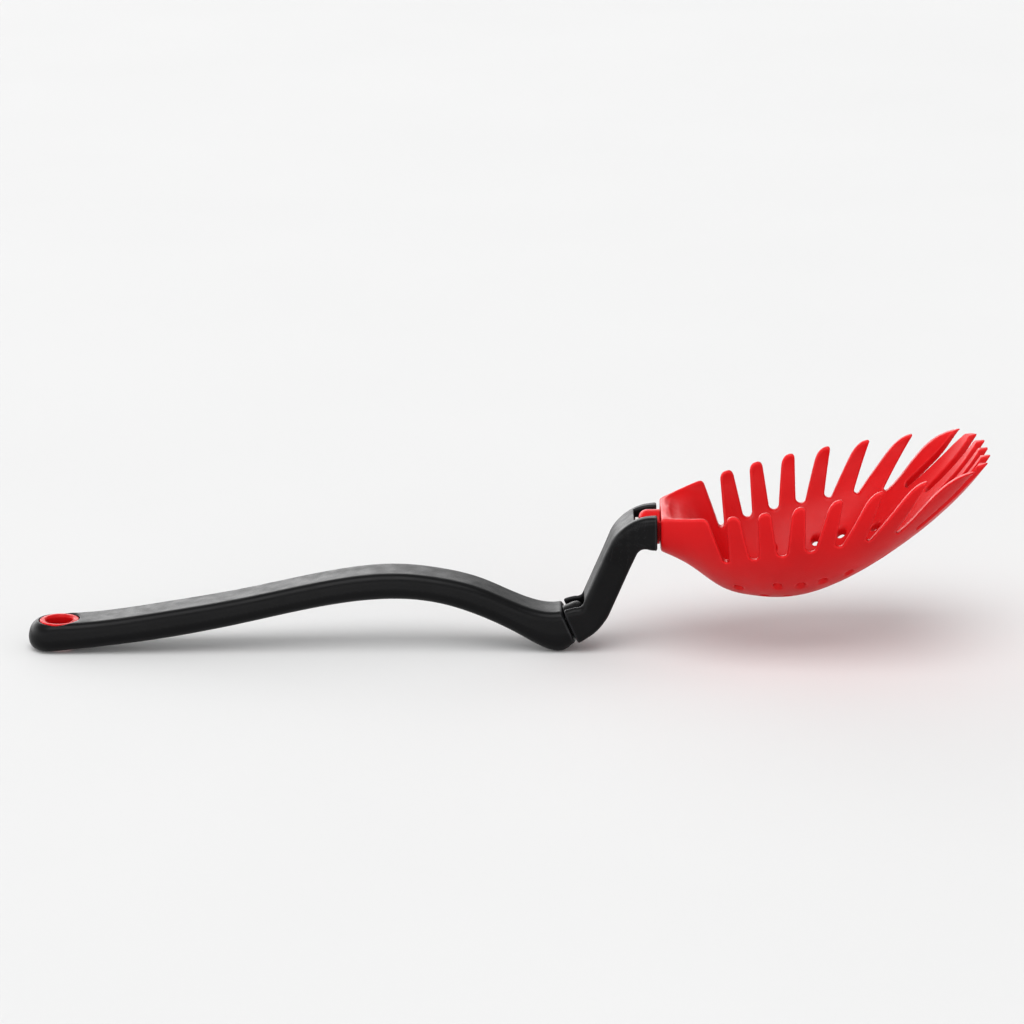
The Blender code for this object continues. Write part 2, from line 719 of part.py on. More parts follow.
def make_wave_washer(name, frame, paint, pivot):
    """Flat ring bent into waves, which presses the swivel together."""
    half = WASHER_THICKNESS / 2
    inner = AXLE_RADIUS + SEAT_GAP
    profile = [(-half, inner), (half, inner), (half, WASHER_RADIUS), (-half, WASHER_RADIUS)]
    bm = turned([(WASHER_MIDDLE + x, radius) for x, radius in profile], SMALL_FACETS, True)
    for vertex in bm.verts:
        turn = math.atan2(vertex.co.z, vertex.co.y)
        vertex.co.x += WASHER_WAVE * math.cos(WASHER_WAVES * turn)
    return make_object(name, bm, frame, paint, pivot, 30)


def make_axle_clip(name, frame, paint, pivot):
    """Open retaining clip in the axle's groove."""
    start = CLIP_MOUTH / 2
    angles = np.linspace(start, 2 * math.pi - start, 17)
    inner = CLIP_GROOVE_RADIUS + SEAT_GAP / 2
    outline = [(CLIP_RADIUS * math.cos(a), CLIP_RADIUS * math.sin(a)) for a in angles]
    outline += [(inner * math.cos(a), inner * math.sin(a)) for a in reversed(angles)]
    return make_object(name, extruded(outline, CLIP_REAR, CLIP_FRONT, 0), frame, paint, pivot, 30)


def make_detent_spring(name, frame, paint, pivot):
    """Hairpin strip that pinches the axle's flats and bears on the socket's walls."""
    leg = AXLE_FLAT_OFFSET + RUNNING_GAP + SPRING_GAUGE / 2
    wall = PLUG_HEIGHT / 2 - SEAT_GAP - SPRING_GAUGE / 2
    foot = -SPRING_REACH - SPRING_FOOT
    middle = [(foot, wall), (-SPRING_REACH + SPRING_FOOT / 2, leg)]
    middle += [(SPRING_REACH - leg + leg * math.sin(a), leg * math.cos(a))
               for a in np.linspace(0, math.pi, 7)]
    middle += [(-SPRING_REACH + SPRING_FOOT / 2, -leg), (foot, -wall)]
    path = [np.array(point) for point in middle]
    outer = []
    inner = []
    for i, point in enumerate(path):
        run = path[min(i + 1, len(path) - 1)] - path[max(i - 1, 0)]
        normal = np.array((-run[1], run[0])) / np.linalg.norm(run)
        outer.append(tuple(point + normal * SPRING_GAUGE / 2))
        inner.append(tuple(point - normal * SPRING_GAUGE / 2))
    outline = outer + inner[::-1]
    bm = extruded(outline, SPRING_FRONT - SPRING_WIDTH, SPRING_FRONT, 0)
    return make_object(name, bm, frame, paint, pivot, 30)


def make_swivel(label, slit, foot, frame, paints, carrier, carrier_pivot, elbow_pivot):
    """All the parts of one swivel. The carrier is the handle or the bowl that holds the spigot."""
    plastic, steel, acetal, rubber = paints
    spigot = make_spigot(label + "_spigot", slit, STOP_ANGLES[label], frame, plastic, carrier_pivot)
    shape(carrier, label + "_socket", socket_tool(slit), frame)
    for side, hand in ((-1, "right"), (1, "left")):
        for held, limit in ((carrier, PLUG_HEIGHT / 2 - SEAT_GAP), (spigot, DOWEL_TOP + SEAT_GAP)):
            hole = dowel(slit, side, foot + TOOL_MARGIN, limit, DOWEL_RADIUS + SEAT_GAP / 2)
            shape(held, "%s_%s_dowel_hole" % (held.name, hand), hole, frame)
        pin = dowel(slit, side, foot, DOWEL_TOP, DOWEL_RADIUS)
        make_object("%s_dowel_%s" % (label, hand), pin, frame, steel, carrier_pivot, 30)
    make_bush(label + "_bush", frame, acetal, carrier_pivot)
    make_seal(label + "_seal", frame, rubber, carrier_pivot)
    make_detent_spring(label + "_detent_spring", frame, steel, carrier_pivot)
    make_axle(label + "_axle", frame, steel, elbow_pivot)
    make_wave_washer(label + "_wave_washer", frame, steel, elbow_pivot)
    make_axle_clip(label + "_axle_clip", frame, steel, elbow_pivot)


# Bowl, drawn in the head frame: x from the elbow's end plane, z from the second swivel's axis
def bowl_line(points):
    return SmoothCurve([(share * HEAD_LENGTH, value) for share, value in points])


KEEL = bowl_line(KEEL_LINE)
HALF_WIDTH = bowl_line(HALF_WIDTH_LINE)
SECTION_POWER = bowl_line(SECTION_POWER_LINE)
BOWL_END = KEEL_LINE[-1][0] * HEAD_LENGTH


def rim(x):
    share = (x - JOINT2_SLIT) / (HEAD_LENGTH - JOINT2_SLIT)
    return RIM_REAR_HEIGHT + RIM_SLOPE * (x - JOINT2_SLIT) + 4 * RIM_ARCH * share * (1 - share)


def notch_line(x):
    return rim(x) - NOTCH_DEPTH


def wall(x):
    """The wall is a little thicker at the tines."""
    place = (x / HEAD_LENGTH - FRONT_WALL_START) / (FRONT_WALL_END - FRONT_WALL_START)
    return WALL + FRONT_EXTRA_WALL * smooth_step(place)


def inner_keel(x):
    """Floor of the bowl, rising at the rear to the shelf over the swivel's socket."""
    floor = KEEL.height(x) + wall(x) * math.hypot(1, KEEL.slope(x))
    past = x - SHELF_LENGTH
    shelf = SHELF_HEIGHT - SHELF_SLOPE * 0.5 * (past + math.hypot(past, SHELF_ROUND))
    return 0.5 * (floor + shelf + math.hypot(floor - shelf, FLOOR_ROUND))


def nose_setback(y):
    """How far the blunt front edge falls back at a distance from the middle."""
    return NOSE_SETBACK * min(abs(y) / NOSE_HALF_WIDTH, 1.0) ** NOSE_POWER


def trough(low_at, half_width_at, start, lid):
    """A long solid with a rounded belly and a flat lid above the rim, swept back at the front."""
    stations = [(x, smooth_step((x - NOSE_START) / (HEAD_LENGTH - NOSE_START)))
                for x in np.linspace(start, BOWL_END, TROUGH_STATIONS)]
    rings = []
    # The last ring isn't swept back, so the solid ends in a flat face
    for x, sweep in [*stations, (BOWL_END + TOOL_OVERLAP, 0.0)]:
        half_width = half_width_at(x)
        power = 2 / SECTION_POWER.height(x)
        depth = max(rim(x) - low_at(x), -lid / 2)
        section = [(half_width, lid), (half_width, lid / 4)]
        for k in range(1, TROUGH_FACETS):
            turn = math.pi * k / TROUGH_FACETS
            side = math.copysign(abs(math.cos(turn)) ** power, math.cos(turn))
            section.append((half_width * side, -depth * abs(math.sin(turn)) ** power))
        section += [(-half_width, lid / 4), (-half_width, lid)]
        ring = []
        for y, height in section:
            place = x - sweep * nose_setback(y)
            ring.append((place, y, rim(place) + height))
        rings.append(ring)
    return loft(rings)


def bowl_blank():
    """Everything behind the blunt front edge, as seen from above."""
    outline = [(JOINT2_SLIT, TOOL_REACH), (JOINT2_SLIT, -TOOL_REACH)]
    for y in (-TOOL_REACH, *np.linspace(-NOSE_HALF_WIDTH, NOSE_HALF_WIDTH, 25), TOOL_REACH):
        outline.append((HEAD_LENGTH - nose_setback(y), y))
    return extruded(outline, -TOOL_REACH, TOOL_REACH, 2)


def arc(centre, radius, first, last, count):
    return [(centre[0] + radius * math.cos(a), centre[1] + radius * math.sin(a))
            for a in np.linspace(math.radians(first), math.radians(last), count)]


def rounded_corner(before, corner, after, near, far, count):
    """A curve that leaves the corner out, from a distance before it to a distance after it."""
    corner = Vector(corner)
    start = corner + (Vector(before) - corner).normalized() * near
    finish = corner + (Vector(after) - corner).normalized() * far
    return [tuple(start.lerp(corner, t).lerp(corner.lerp(finish, t), t)) for t in np.linspace(0, 1, count)]


def notch(number):
    """Round foot of one notch. Its two flanks lean forward more and more towards the front."""
    x = FIRST_NOTCH + NOTCH_PITCH * number - NOTCH_BOW * math.sin(math.pi * number / SIDE_TEETH)
    radius = NOTCH_RADII[number]
    leaning = number / SIDE_TEETH
    return arc((x, notch_line(x) + radius), radius, NOTCH_REAR_ANGLE - NOTCH_REAR_TURN * leaning,
               NOTCH_FRONT_ANGLE - NOTCH_FRONT_TURN * leaning ** 3, 6)


def tooth_outline(number, rear_foot, front_foot):
    """Side view of one tooth's tip. The more a tooth leans, the sharper its front corner."""
    middle = (FIRST_NOTCH + NOTCH_PITCH * (number + 0.5) + TOOTH_LEAN_FIRST + TOOTH_LEAN_STEP * number
              + TOOTH_LEAN_GROWTH * number ** 2)
    rear = (middle - TOOTH_TIP_HALF_WIDTH, rim(middle - TOOTH_TIP_HALF_WIDTH))
    front = (middle + TOOTH_TIP_HALF_WIDTH, rim(middle + TOOTH_TIP_HALF_WIDTH))
    leaning = (number / (SIDE_TEETH - 1)) ** 1.5
    sharpening = TOOTH_FRONT_SHARPENING * leaning
    return [
        *rounded_corner(rear_foot, rear, front, TOOTH_ROUND + TOOTH_REAR_ROUND_GROWTH * leaning,
                        TOOTH_TIP_HALF_WIDTH * (1 + sharpening), 5),
        *rounded_corner(rear, front, front_foot, TOOTH_TIP_HALF_WIDTH * (1 - sharpening),
                        TOOTH_ROUND * (1 - sharpening), 5)[1:],
    ]


def cutaway_outline():
    """Side view of all that is cut away: above the rim and between the side teeth."""
    rear = JOINT2_SLIT - TOOL_MARGIN
    front = HEAD_LENGTH + TOOL_MARGIN
    high = rim(HEAD_LENGTH) + 2 * TOOL_MARGIN
    notches = [notch(number) for number in range(SIDE_TEETH + 1)]
    outline = [(rear, high), (rear, rim(rear))]
    outline += [(x, rim(x)) for x in np.linspace(JOINT2_SLIT, REAR_WALL_LENGTH - REAR_WALL_ROUND, 3)]
    corner = (REAR_WALL_LENGTH, rim(REAR_WALL_LENGTH))
    outline += rounded_corner(outline[-1], corner, notches[0][0], REAR_WALL_ROUND, REAR_WALL_ROUND, 5)[1:]
    for number in range(SIDE_TEETH):
        outline += notches[number]
        outline += tooth_outline(number, notches[number][-1], notches[number + 1][0])
    outline += notches[-1]
    start = Vector(outline[-1])
    finish = Vector((FRONT_EDGE_END, rim(FRONT_EDGE_END)))
    # The bow is fullest two thirds of the way to the tip, where 6.75 scales it to its full size
    for t in (0.2, 0.4, 0.6, 0.75, 0.9):
        bow = FRONT_EDGE_BOW * 6.75 * t * t * (1 - t)
        outline.append(tuple(start.lerp(finish, t) + Vector((-bow, bow))))
    outline += [(x, rim(x)) for x in np.linspace(FRONT_EDGE_END, front, 5)]
    outline.append((front, high))
    return outline


def slot_middles():
    return [SLOT_SPACING * (k - (FRONT_SLOTS - 1) / 2) for k in range(FRONT_SLOTS)]


def slot_side(middle_at, half_width_at, tip_y, side):
    """One edge of a slot in plan. It curves out at the front, so the tine beside it ends in a point."""
    tip_x = HEAD_LENGTH - nose_setback(tip_y + side * SLOT_SPACING / 2)
    widest = (SLOT_SPACING - TINE_TIP_WIDTH) / 2
    points = []
    for t in np.linspace(0, 1, 5):
        x = tip_x - TINE_POINT_LENGTH * (1 - t)
        half_width = half_width_at(x)
        half_width += (widest - half_width) * t ** TINE_POINT_POWER
        points.append((x, middle_at(x) + side * half_width))
    points.append((HEAD_LENGTH + TOOL_MARGIN, points[-1][1]))
    return points


def slot_tool(tip_y):
    """Upright wedge between two front tines, narrow and round at its rear end."""
    rear_y = tip_y * SLOT_FAN
    rear_x = SLOT_REAR - SLOT_REAR_CURVE * tip_y ** 2
    share = 1 - (1 - SLOT_OUTER_SHARE) * (tip_y / slot_middles()[-1]) ** 2
    radius = SLOT_REAR_WIDTH / 2 * share

    def along(x):
        return (x - rear_x) / (HEAD_LENGTH - rear_x)

    def middle_at(x):
        return rear_y + (tip_y - rear_y) * along(x)

    def half_width_at(x):
        return share * (SLOT_REAR_WIDTH + (SLOT_TIP_WIDTH - SLOT_REAR_WIDTH) * along(x)) / 2

    outline = arc((rear_x + radius, rear_y), radius, 110, 250, 7)
    outline += slot_side(middle_at, half_width_at, tip_y, -1)
    outline += slot_side(middle_at, half_width_at, tip_y, 1)[::-1]
    low = KEEL.height(rear_x) - 2 * TOOL_MARGIN
    high = rim(HEAD_LENGTH) + 3 * TOOL_MARGIN
    return loft([[(x, y, low) for x, y in outline], [(x, y, high) for x, y in outline]])


def hole_places():
    """Plan positions of the drain holes: an outer and an inner row on each side."""
    places = []
    for share, spread in (*OUTER_HOLES, *INNER_HOLES):
        x = share * HEAD_LENGTH
        places += [(x, side * spread * HALF_WIDTH.height(x)) for side in (-1, 1)]
    return places


def hole_tool(x, y):
    """Upright round bar, because the mould opens that way."""
    outline = [(x + dx, y + dy) for dx, dy in arc((0, 0), HOLE_RADIUS, 0, 345, 24)]
    return extruded(outline, KEEL.height(x) - 2 * TOOL_MARGIN, rim(x) + 2 * TOOL_MARGIN, 2)


def make_bowl(red, pivot):
    outer = trough(KEEL.height, HALF_WIDTH.height, JOINT2_SLIT - TOOL_OVERLAP, TROUGH_LID)
    bowl = make_object("head_bowl", outer, HEAD_FRAME, red, pivot)
    shape(bowl, "bowl_blank", bowl_blank(), HEAD_FRAME, "INTERSECT")
    inside = trough(inner_keel, lambda x: HALF_WIDTH.height(x) - wall(x), JOINT2_SLIT + WALL,
                    2 * TROUGH_LID)
    shape(bowl, "bowl_inside", inside, HEAD_FRAME)
    cuts = [extruded(cutaway_outline(), -TOOL_REACH, TOOL_REACH, 1)]
    cuts += [slot_tool(tip_y) for tip_y in slot_middles()]
    shape(bowl, "bowl_cutaway", together(cuts), HEAD_FRAME, overlapping=True)
    shape(bowl, "drain_holes", together([hole_tool(x, y) for x, y in hole_places()]), HEAD_FRAME)
    return bowl


def main():
    for old in list(bpy.data.objects):
        bpy.data.objects.remove(old)
    black = material("black_nylon", BLACK, 0.45)
    red = material("red_nylon", RED, 0.40)
    steel = material("spring_steel", STEEL, 0.28, 1.0)
    acetal = material("white_acetal", ACETAL, 0.35)
    rubber = material("black_rubber", RUBBER, 0.60)
    handle_pivot = make_pivot("handle_origin", (0, 0, 0))
    elbow_pivot = make_pivot("elbow_pivot", SWIVEL1)
    head_pivot = make_pivot("head_pivot", SWIVEL2)
    grip = make_handle(black, red, handle_pivot)
    make_elbow(black, elbow_pivot)
    bowl = make_bowl(red, head_pivot)
    make_swivel("handle", JOINT1_SLIT, DOWEL_HANDLE_FOOT, FRAME1, (black, steel, acetal, rubber),
                grip, handle_pivot, elbow_pivot)
    make_swivel("head", JOINT2_SLIT, DOWEL_HEAD_FOOT, FRAME2, (red, steel, acetal, rubber),
                bowl, head_pivot, elbow_pivot)


main()
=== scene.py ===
import json
import math

import bmesh
import bpy
import numpy as np
from mathutils import Matrix, Vector

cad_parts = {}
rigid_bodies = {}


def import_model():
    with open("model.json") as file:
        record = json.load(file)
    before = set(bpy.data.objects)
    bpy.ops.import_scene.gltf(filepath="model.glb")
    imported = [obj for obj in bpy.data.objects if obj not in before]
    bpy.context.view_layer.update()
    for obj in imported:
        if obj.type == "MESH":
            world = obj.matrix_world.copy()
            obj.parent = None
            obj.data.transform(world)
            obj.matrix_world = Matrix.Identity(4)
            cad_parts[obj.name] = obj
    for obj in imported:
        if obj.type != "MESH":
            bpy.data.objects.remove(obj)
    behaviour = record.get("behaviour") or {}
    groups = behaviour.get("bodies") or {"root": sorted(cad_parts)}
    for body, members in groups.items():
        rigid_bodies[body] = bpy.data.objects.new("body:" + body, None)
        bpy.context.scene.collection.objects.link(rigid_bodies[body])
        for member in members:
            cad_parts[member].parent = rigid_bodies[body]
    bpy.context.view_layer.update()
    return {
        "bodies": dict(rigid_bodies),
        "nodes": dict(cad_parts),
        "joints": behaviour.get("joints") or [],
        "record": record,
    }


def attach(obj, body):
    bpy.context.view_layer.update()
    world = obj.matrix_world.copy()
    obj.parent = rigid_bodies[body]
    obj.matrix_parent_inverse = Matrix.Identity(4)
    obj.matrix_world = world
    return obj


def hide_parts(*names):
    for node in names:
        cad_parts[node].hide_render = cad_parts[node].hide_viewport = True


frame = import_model()

# Sizes shared with the part, in metres
HANDLE_LENGTH = 0.1885
ELBOW_RUN = 0.0297
ELBOW_RISE = 0.0340
HEAD_LENGTH = 0.1133
FIRST_SWIVEL_HEIGHT = 0.0092
TILT = math.radians(23.7)
OVERALL = HANDLE_LENGTH + ELBOW_RUN + HEAD_LENGTH
SWIVEL1 = np.array((HANDLE_LENGTH - OVERALL / 2, 0.0, FIRST_SWIVEL_HEIGHT))
SWIVEL2 = SWIVEL1 + np.array((ELBOW_RUN, 0.0, ELBOW_RISE))
SLIT1 = 0.0007
SLIT2 = 0.0012

# Plug of each spigot, the socket that it sits in, and the dowels through both
PLUG_LENGTH = 0.0044
PLUG_HALF_WIDTH = 0.0065
PLUG_HALF_HEIGHT = 0.0035
SOCKET_DEPTH = 0.0084
SEAT_GAP = 0.0002
DOWEL_SPREAD = 0.0044
DOWEL_RADIUS = 0.0011

# Roundings of small and of the finest edges, how far a cut runs past what it opens, and a grid's free rim
SMALL_EDGE = 0.0003
FINE_EDGE = 0.0002
CUT_PAST = 0.004
GRID_ROOM = 0.001

# Outward bends per metre at which edges start to show wear, and show it fully
SOFT_BEND = 350.0
SHARP_BEND = 1500.0

# Limits that keep the sums safe: a grid's last cell, a doubled point of an outline and a move of no length
LAST_CELL = 1.001
SAME_POINT = 1e-16
NO_MOVE = 1e-9


# Solids as fields: a function of points that is negative inside and close to a distance near the surface
def round_max(a, b, blend):
    """Both fields' overlap, with a rounded edge where they meet."""
    near = np.maximum(blend - np.abs(a - b), 0.0) / blend
    return np.maximum(a, b) + near * near * blend * 0.25


def round_min(a, b, blend):
    """Both fields together, with a rounded inner corner where they meet."""
    return -round_max(-a, -b, blend)


def cut(solid, tool, blend):
    return round_max(solid, -tool, blend)


def box_field(x, y, z, low, high):
    """Distance to a box given by its lowest and highest corners."""
    parts = []
    for value, lo, hi in zip((x, y, z), low, high):
        parts.append(np.abs(value - (lo + hi) / 2) - (hi - lo) / 2)
    outside = np.sqrt(sum(np.maximum(part, 0.0) ** 2 for part in parts))
    inside = np.minimum(np.maximum.reduce(parts), 0.0)
    return outside + inside


def flat_grid(low, size, step):
    """Places of the points of a flat grid."""
    u = low[0] + step * np.arange(size[0])
    v = low[1] + step * np.arange(size[1])
    return np.meshgrid(u, v, indexing="ij")


def look_up(values, low, step, u, v):
    """A flat grid's value at any place, from the four points around it."""
    fu = np.clip((u - low[0]) / step, 0, values.shape[0] - LAST_CELL)
    fv = np.clip((v - low[1]) / step, 0, values.shape[1] - LAST_CELL)
    iu, iv = fu.astype(int), fv.astype(int)
    tu, tv = fu - iu, fv - iv
    return ((values[iu, iv] * (1 - tu) + values[iu + 1, iv] * tu) * (1 - tv)
            + (values[iu, iv + 1] * (1 - tu) + values[iu + 1, iv + 1] * tu) * tv)


class OutlineField:
    """Signed distance to a flat closed outline, kept on a fine grid and looked up between its points."""

    def __init__(self, outline, step=0.0002, margin=0.004):
        points = np.array(outline)
        self.step = step
        self.low = points.min(0) - margin
        self.size = np.ceil((points.max(0) + margin - self.low) / step).astype(int) + 2
        gu, gv = flat_grid(self.low, self.size, step)
        nearest = np.full(gu.shape, 1.0)
        inside = np.zeros(gu.shape, bool)
        for (ax, ay), (bx, by) in zip(points, np.roll(points, -1, 0)):
            ex, ey = bx - ax, by - ay
            square = ex * ex + ey * ey
            if square < SAME_POINT:
                continue
            share = np.clip(((gu - ax) * ex + (gv - ay) * ey) / square, 0, 1)
            nearest = np.minimum(nearest, np.hypot(gu - ax - share * ex, gv - ay - share * ey))
            if ey != 0:
                crossing = ((ay > gv) != (by > gv)) & (gu < ax + (gv - ay) / ey * ex)
                inside ^= crossing
        self.values = np.where(inside, -nearest, nearest)

    def __call__(self, u, v):
        return look_up(self.values, self.low, self.step, u, v)


def gradient(field, p, step=0.00004):
    """Slope of a field at points, by small steps each way."""
    x, y, z = p.T
    return np.stack([
        field(x + step, y, z) - field(x - step, y, z),
        field(x, y + step, z) - field(x, y - step, z),
        field(x, y, z + step) - field(x, y, z - step),
    ], 1) / (2 * step)


def neighbours(values, axis):
    """A grid of values twice, the second one a step further along an axis."""
    first = [slice(None)] * 3
    second = [slice(None)] * 3
    first[axis] = slice(None, -1)
    second[axis] = slice(1, None)
    return values[tuple(first)], values[tuple(second)]


def crossed_cells(values, axes, step):
    """A point in each grid cell that the surface crosses, and a grid of these points' numbers."""
    shape = values.shape
    total = np.zeros(tuple(n - 1 for n in shape) + (3,), np.float32)
    count = np.zeros(tuple(n - 1 for n in shape), np.int8)
    for axis in range(3):
        a, b = neighbours(values, axis)
        index = np.nonzero((a < 0) != (b < 0))
        share = a[index] / (a[index] - b[index])
        place = [axes[k][index[k]] for k in range(3)]
        place[axis] = place[axis] + share * step
        others = [k for k in range(3) if k != axis]
        for du in (0, 1):
            for dv in (0, 1):
                cell = [index[0].copy(), index[1].copy(), index[2].copy()]
                cell[others[0]] -= du
                cell[others[1]] -= dv
                good = np.ones(len(cell[0]), bool)
                for k in range(3):
                    good &= (cell[k] >= 0) & (cell[k] < shape[k] - 1)
                where = tuple(c[good] for c in cell)
                for k in range(3):
                    np.add.at(total[..., k], where, place[k][good])
                np.add.at(count, where, 1)
    used = count > 0
    number = np.full(count.shape, -1, np.int64)
    number[used] = np.arange(int(used.sum()))
    return (total[used] / count[used][:, None]).astype(float), number


def crossed_faces(solid, number):
    """A four-sided face across each grid edge that the surface crosses."""
    faces = []
    for axis in range(3):
        a, b = neighbours(solid, axis)
        others = [(axis + 1) % 3, (axis + 2) % 3]
        for leaving in (True, False):
            index = np.nonzero(a & ~b if leaving else ~a & b)
            inner = np.ones(len(index[0]), bool)
            for k in others:
                inner &= (index[k] > 0) & (index[k] < solid.shape[k] - 1)
            index = [i[inner] for i in index]
            corners = []
            for du, dv in ((1, 1), (0, 1), (0, 0), (1, 0)):
                cell = [i.copy() for i in index]
                cell[others[0]] -= du
                cell[others[1]] -= dv
                corners.append(number[tuple(cell)])
            quad = np.stack(corners, 1)
            faces.append(quad if leaving else quad[:, ::-1])
    return np.concatenate(faces)


def surface(field, low, high, step):
    """Vertices and four-sided faces of a field's zero surface, one vertex to each grid cell it crosses."""
    axes = [np.arange(lo, hi + step, step) for lo, hi in zip(low, high)]
    values = np.empty(tuple(len(a) for a in axes), np.float32)
    gy, gz = np.meshgrid(axes[1], axes[2], indexing="ij")
    for i, x in enumerate(axes[0]):
        values[i] = field(np.full(gy.shape, x), gy, gz)
    points, number = crossed_cells(values, axes, step)
    return points, crossed_faces(values < 0, number)


def settle(field, points, rounds=3, reach=0.0004, flattest=0.05):
    """Moves surface points onto the field's exact zero."""
    for _ in range(rounds):
        slope = gradient(field, points)
        size = np.maximum((slope ** 2).sum(1), flattest)
        move = field(*points.T)[:, None] * slope / size[:, None]
        length = np.linalg.norm(move, axis=1)
        move *= np.minimum(1.0, reach / np.maximum(length, NO_MOVE))[:, None]
        points = points - move
    return points


def edge_share(field, points, step=0.00025):
    """Nought on flat places and one where the surface bends outwards most, from the field around it."""
    x, y, z = points.T
    around = (field(x + step, y, z) + field(x - step, y, z) + field(x, y + step, z)
              + field(x, y - step, z) + field(x, y, z + step) + field(x, y, z - step))
    bend = (around - 6 * field(x, y, z)) / step ** 2
    return smooth_step((bend - SOFT_BEND) / (SHARP_BEND - SOFT_BEND))


def new_piece(name, points, faces):
    """A smooth-shaded piece in the scene."""
    mesh = bpy.data.meshes.new(name)
    mesh.from_pydata(points, [], faces)
    mesh.update()
    mesh.shade_smooth()
    piece = bpy.data.objects.new(name, mesh)
    bpy.context.scene.collection.objects.link(piece)
    return piece


def grid_step(fine):
    return fine


def field_mesh(name, field, low, high, step, origin=(0, 0, 0)):
    """A piece with a field's surface, moved to its origin, with its edges marked."""
    points, faces = surface(field, low, high, step)
    points = settle(field, points)
    piece = new_piece(name, (points + np.array(origin)).tolist(), faces.tolist())
    edge = piece.data.attributes.new("edge", "FLOAT", "POINT")
    edge.data.foreach_set("value", edge_share(field, points).astype(np.float32))
    return piece


def spline(points):
    """A natural cubic curve through points, as a function of an array."""
    x = np.array([p[0] for p in points])
    z = np.array([p[1] for p in points])
    gaps = np.diff(x)
    steps = np.diff(z) / gaps
    count = len(points)
    rows = np.zeros((count, count))
    right = np.zeros(count)
    for i in range(1, count - 1):
        rows[i, i - 1] = 1 / gaps[i - 1]
        rows[i, i] = 2 / gaps[i - 1] + 2 / gaps[i]
        rows[i, i + 1] = 1 / gaps[i]
        right[i] = 3 * (steps[i - 1] / gaps[i - 1] + steps[i] / gaps[i])
    rows[0, :2] = (2, 1)
    rows[-1, -2:] = (1, 2)
    right[0] = 3 * steps[0]
    right[-1] = 3 * steps[-1]
    slopes = np.linalg.solve(rows, right)

    def value(at):
        at = np.clip(at, x[0], x[-1])
        i = np.clip(np.searchsorted(x, at) - 1, 0, count - 2)
        length = gaps[i]
        t = (at - x[i]) / length
        rise = z[i + 1] - z[i]
        start = slopes[i] * length
        end = slopes[i + 1] * length
        return z[i] + start * t + (3 * rise - 2 * start - end) * t ** 2 + (start + end - 2 * rise) * t ** 3

    return value


def smooth_step(t):
    """Nought up to nought, one from one on, and eased between them."""
    t = np.clip(t, 0.0, 1.0)
    return t * t * (3 - 2 * t)


# Bowl, in the head's frame: x from the elbow's end plane, z from the second swivel's axis
WALL = 0.0023
FRONT_EXTRA_WALL = 0.0003
FRONT_WALL_START = 0.60
FRONT_WALL_END = 0.90
RIM_REAR_HEIGHT = 0.0064
RIM_SLOPE = 0.1943
RIM_ARCH = 0.0011


def head_line(points):
    """A curve along the head, from shares of its length and sizes in metres."""
    return spline([(share * HEAD_LENGTH, value) for share, value in points])


KEEL = head_line((
    (0.0106, -0.0075), (0.0953, -0.0124), (0.1933, -0.0208), (0.2913, -0.0242), (0.3530, -0.0248),
    (0.4378, -0.0237), (0.5825, -0.0167), (0.7273, -0.0056), (0.8676, 0.0082), (0.9656, 0.0217),
    (1.0150, 0.0307),
))
HALF_WIDTH = head_line((
    (0.0106, 0.0139), (0.1421, 0.0260), (0.3177, 0.0340), (0.5119, 0.0359), (0.7944, 0.0328),
    (1.0150, 0.0292),
))
# Power of the sections' curve: two is an ellipse, and more is squarer
POWER = head_line(((0.0106, 2.7), (0.1236, 2.0), (0.2648, 1.7), (0.5914, 2.0), (1.0150, 2.0)))
SHELF_HEIGHT = 0.0054
SHELF_LENGTH = 0.0108
SHELF_SLOPE = 1.7
SHELF_ROUND = 0.0030
FLOOR_ROUND = 0.0050
NOSE_HALF_WIDTH = 0.0293
NOSE_SETBACK = 0.0072
NOSE_POWER = 3.2
NOSE_START = 0.6178 * HEAD_LENGTH
SIDE_TEETH = 6
FIRST_NOTCH = 0.2030 * HEAD_LENGTH
NOTCH_PITCH = 0.0846 * HEAD_LENGTH
NOTCH_BOW = 0.0006
NOTCH_DEPTH = 0.0174
NOTCH_RADII = (0.0010, 0.0017, 0.0018, 0.0018, 0.0014, 0.0009, 0.0006)
NOTCH_REAR_ANGLE = 200
NOTCH_REAR_TURN = 48
NOTCH_FRONT_ANGLE = 352
NOTCH_FRONT_TURN = 34
NOTCH_FRONT_POWER = 3
TIP_HALF_WIDTH = 0.0022
TIP_ROUND = 0.0026
TIP_REAR_ROUND_GROWTH = 0.0045
TIP_FRONT_SHARPENING = 0.80
TIP_LEAN_POWER = 1.5
LEAN_FIRST = -0.0030
LEAN_STEP = 0.00037
LEAN_GROWTH = 0.00053
REAR_WALL = 0.1450 * HEAD_LENGTH
REAR_WALL_ROUND = 0.0020
FRONT_EDGE_END = 0.9356 * HEAD_LENGTH
FRONT_EDGE_BOW = 0.0021
# A bow of t * t * (1 - t) is fullest two thirds of the way along, where this scales it to one
FULL_BOW = 27 / 4
SLOT_PAIRS = 3
SLOT_SPACING = 0.0099
OUTERMOST_SLOT = (SLOT_PAIRS - 0.5) * SLOT_SPACING
SLOT_REAR = 0.8550 * HEAD_LENGTH
SLOT_REAR_CURVE = 16.0
SLOT_REAR_ARC = (110, 250)
SLOT_REAR_WIDTH = 0.0038
SLOT_TIP_WIDTH = 0.0056
SLOT_OUTER_SHARE = 0.62
TINE_POINT_LENGTH = 0.0080
TINE_POINT_POWER = 1.8
TINE_TIP_WIDTH = 0.0016
SLOT_FAN = 0.90
# Narrower than the solid's holes, because the rounded rims open them wider
HOLE_RADIUS = 0.0015
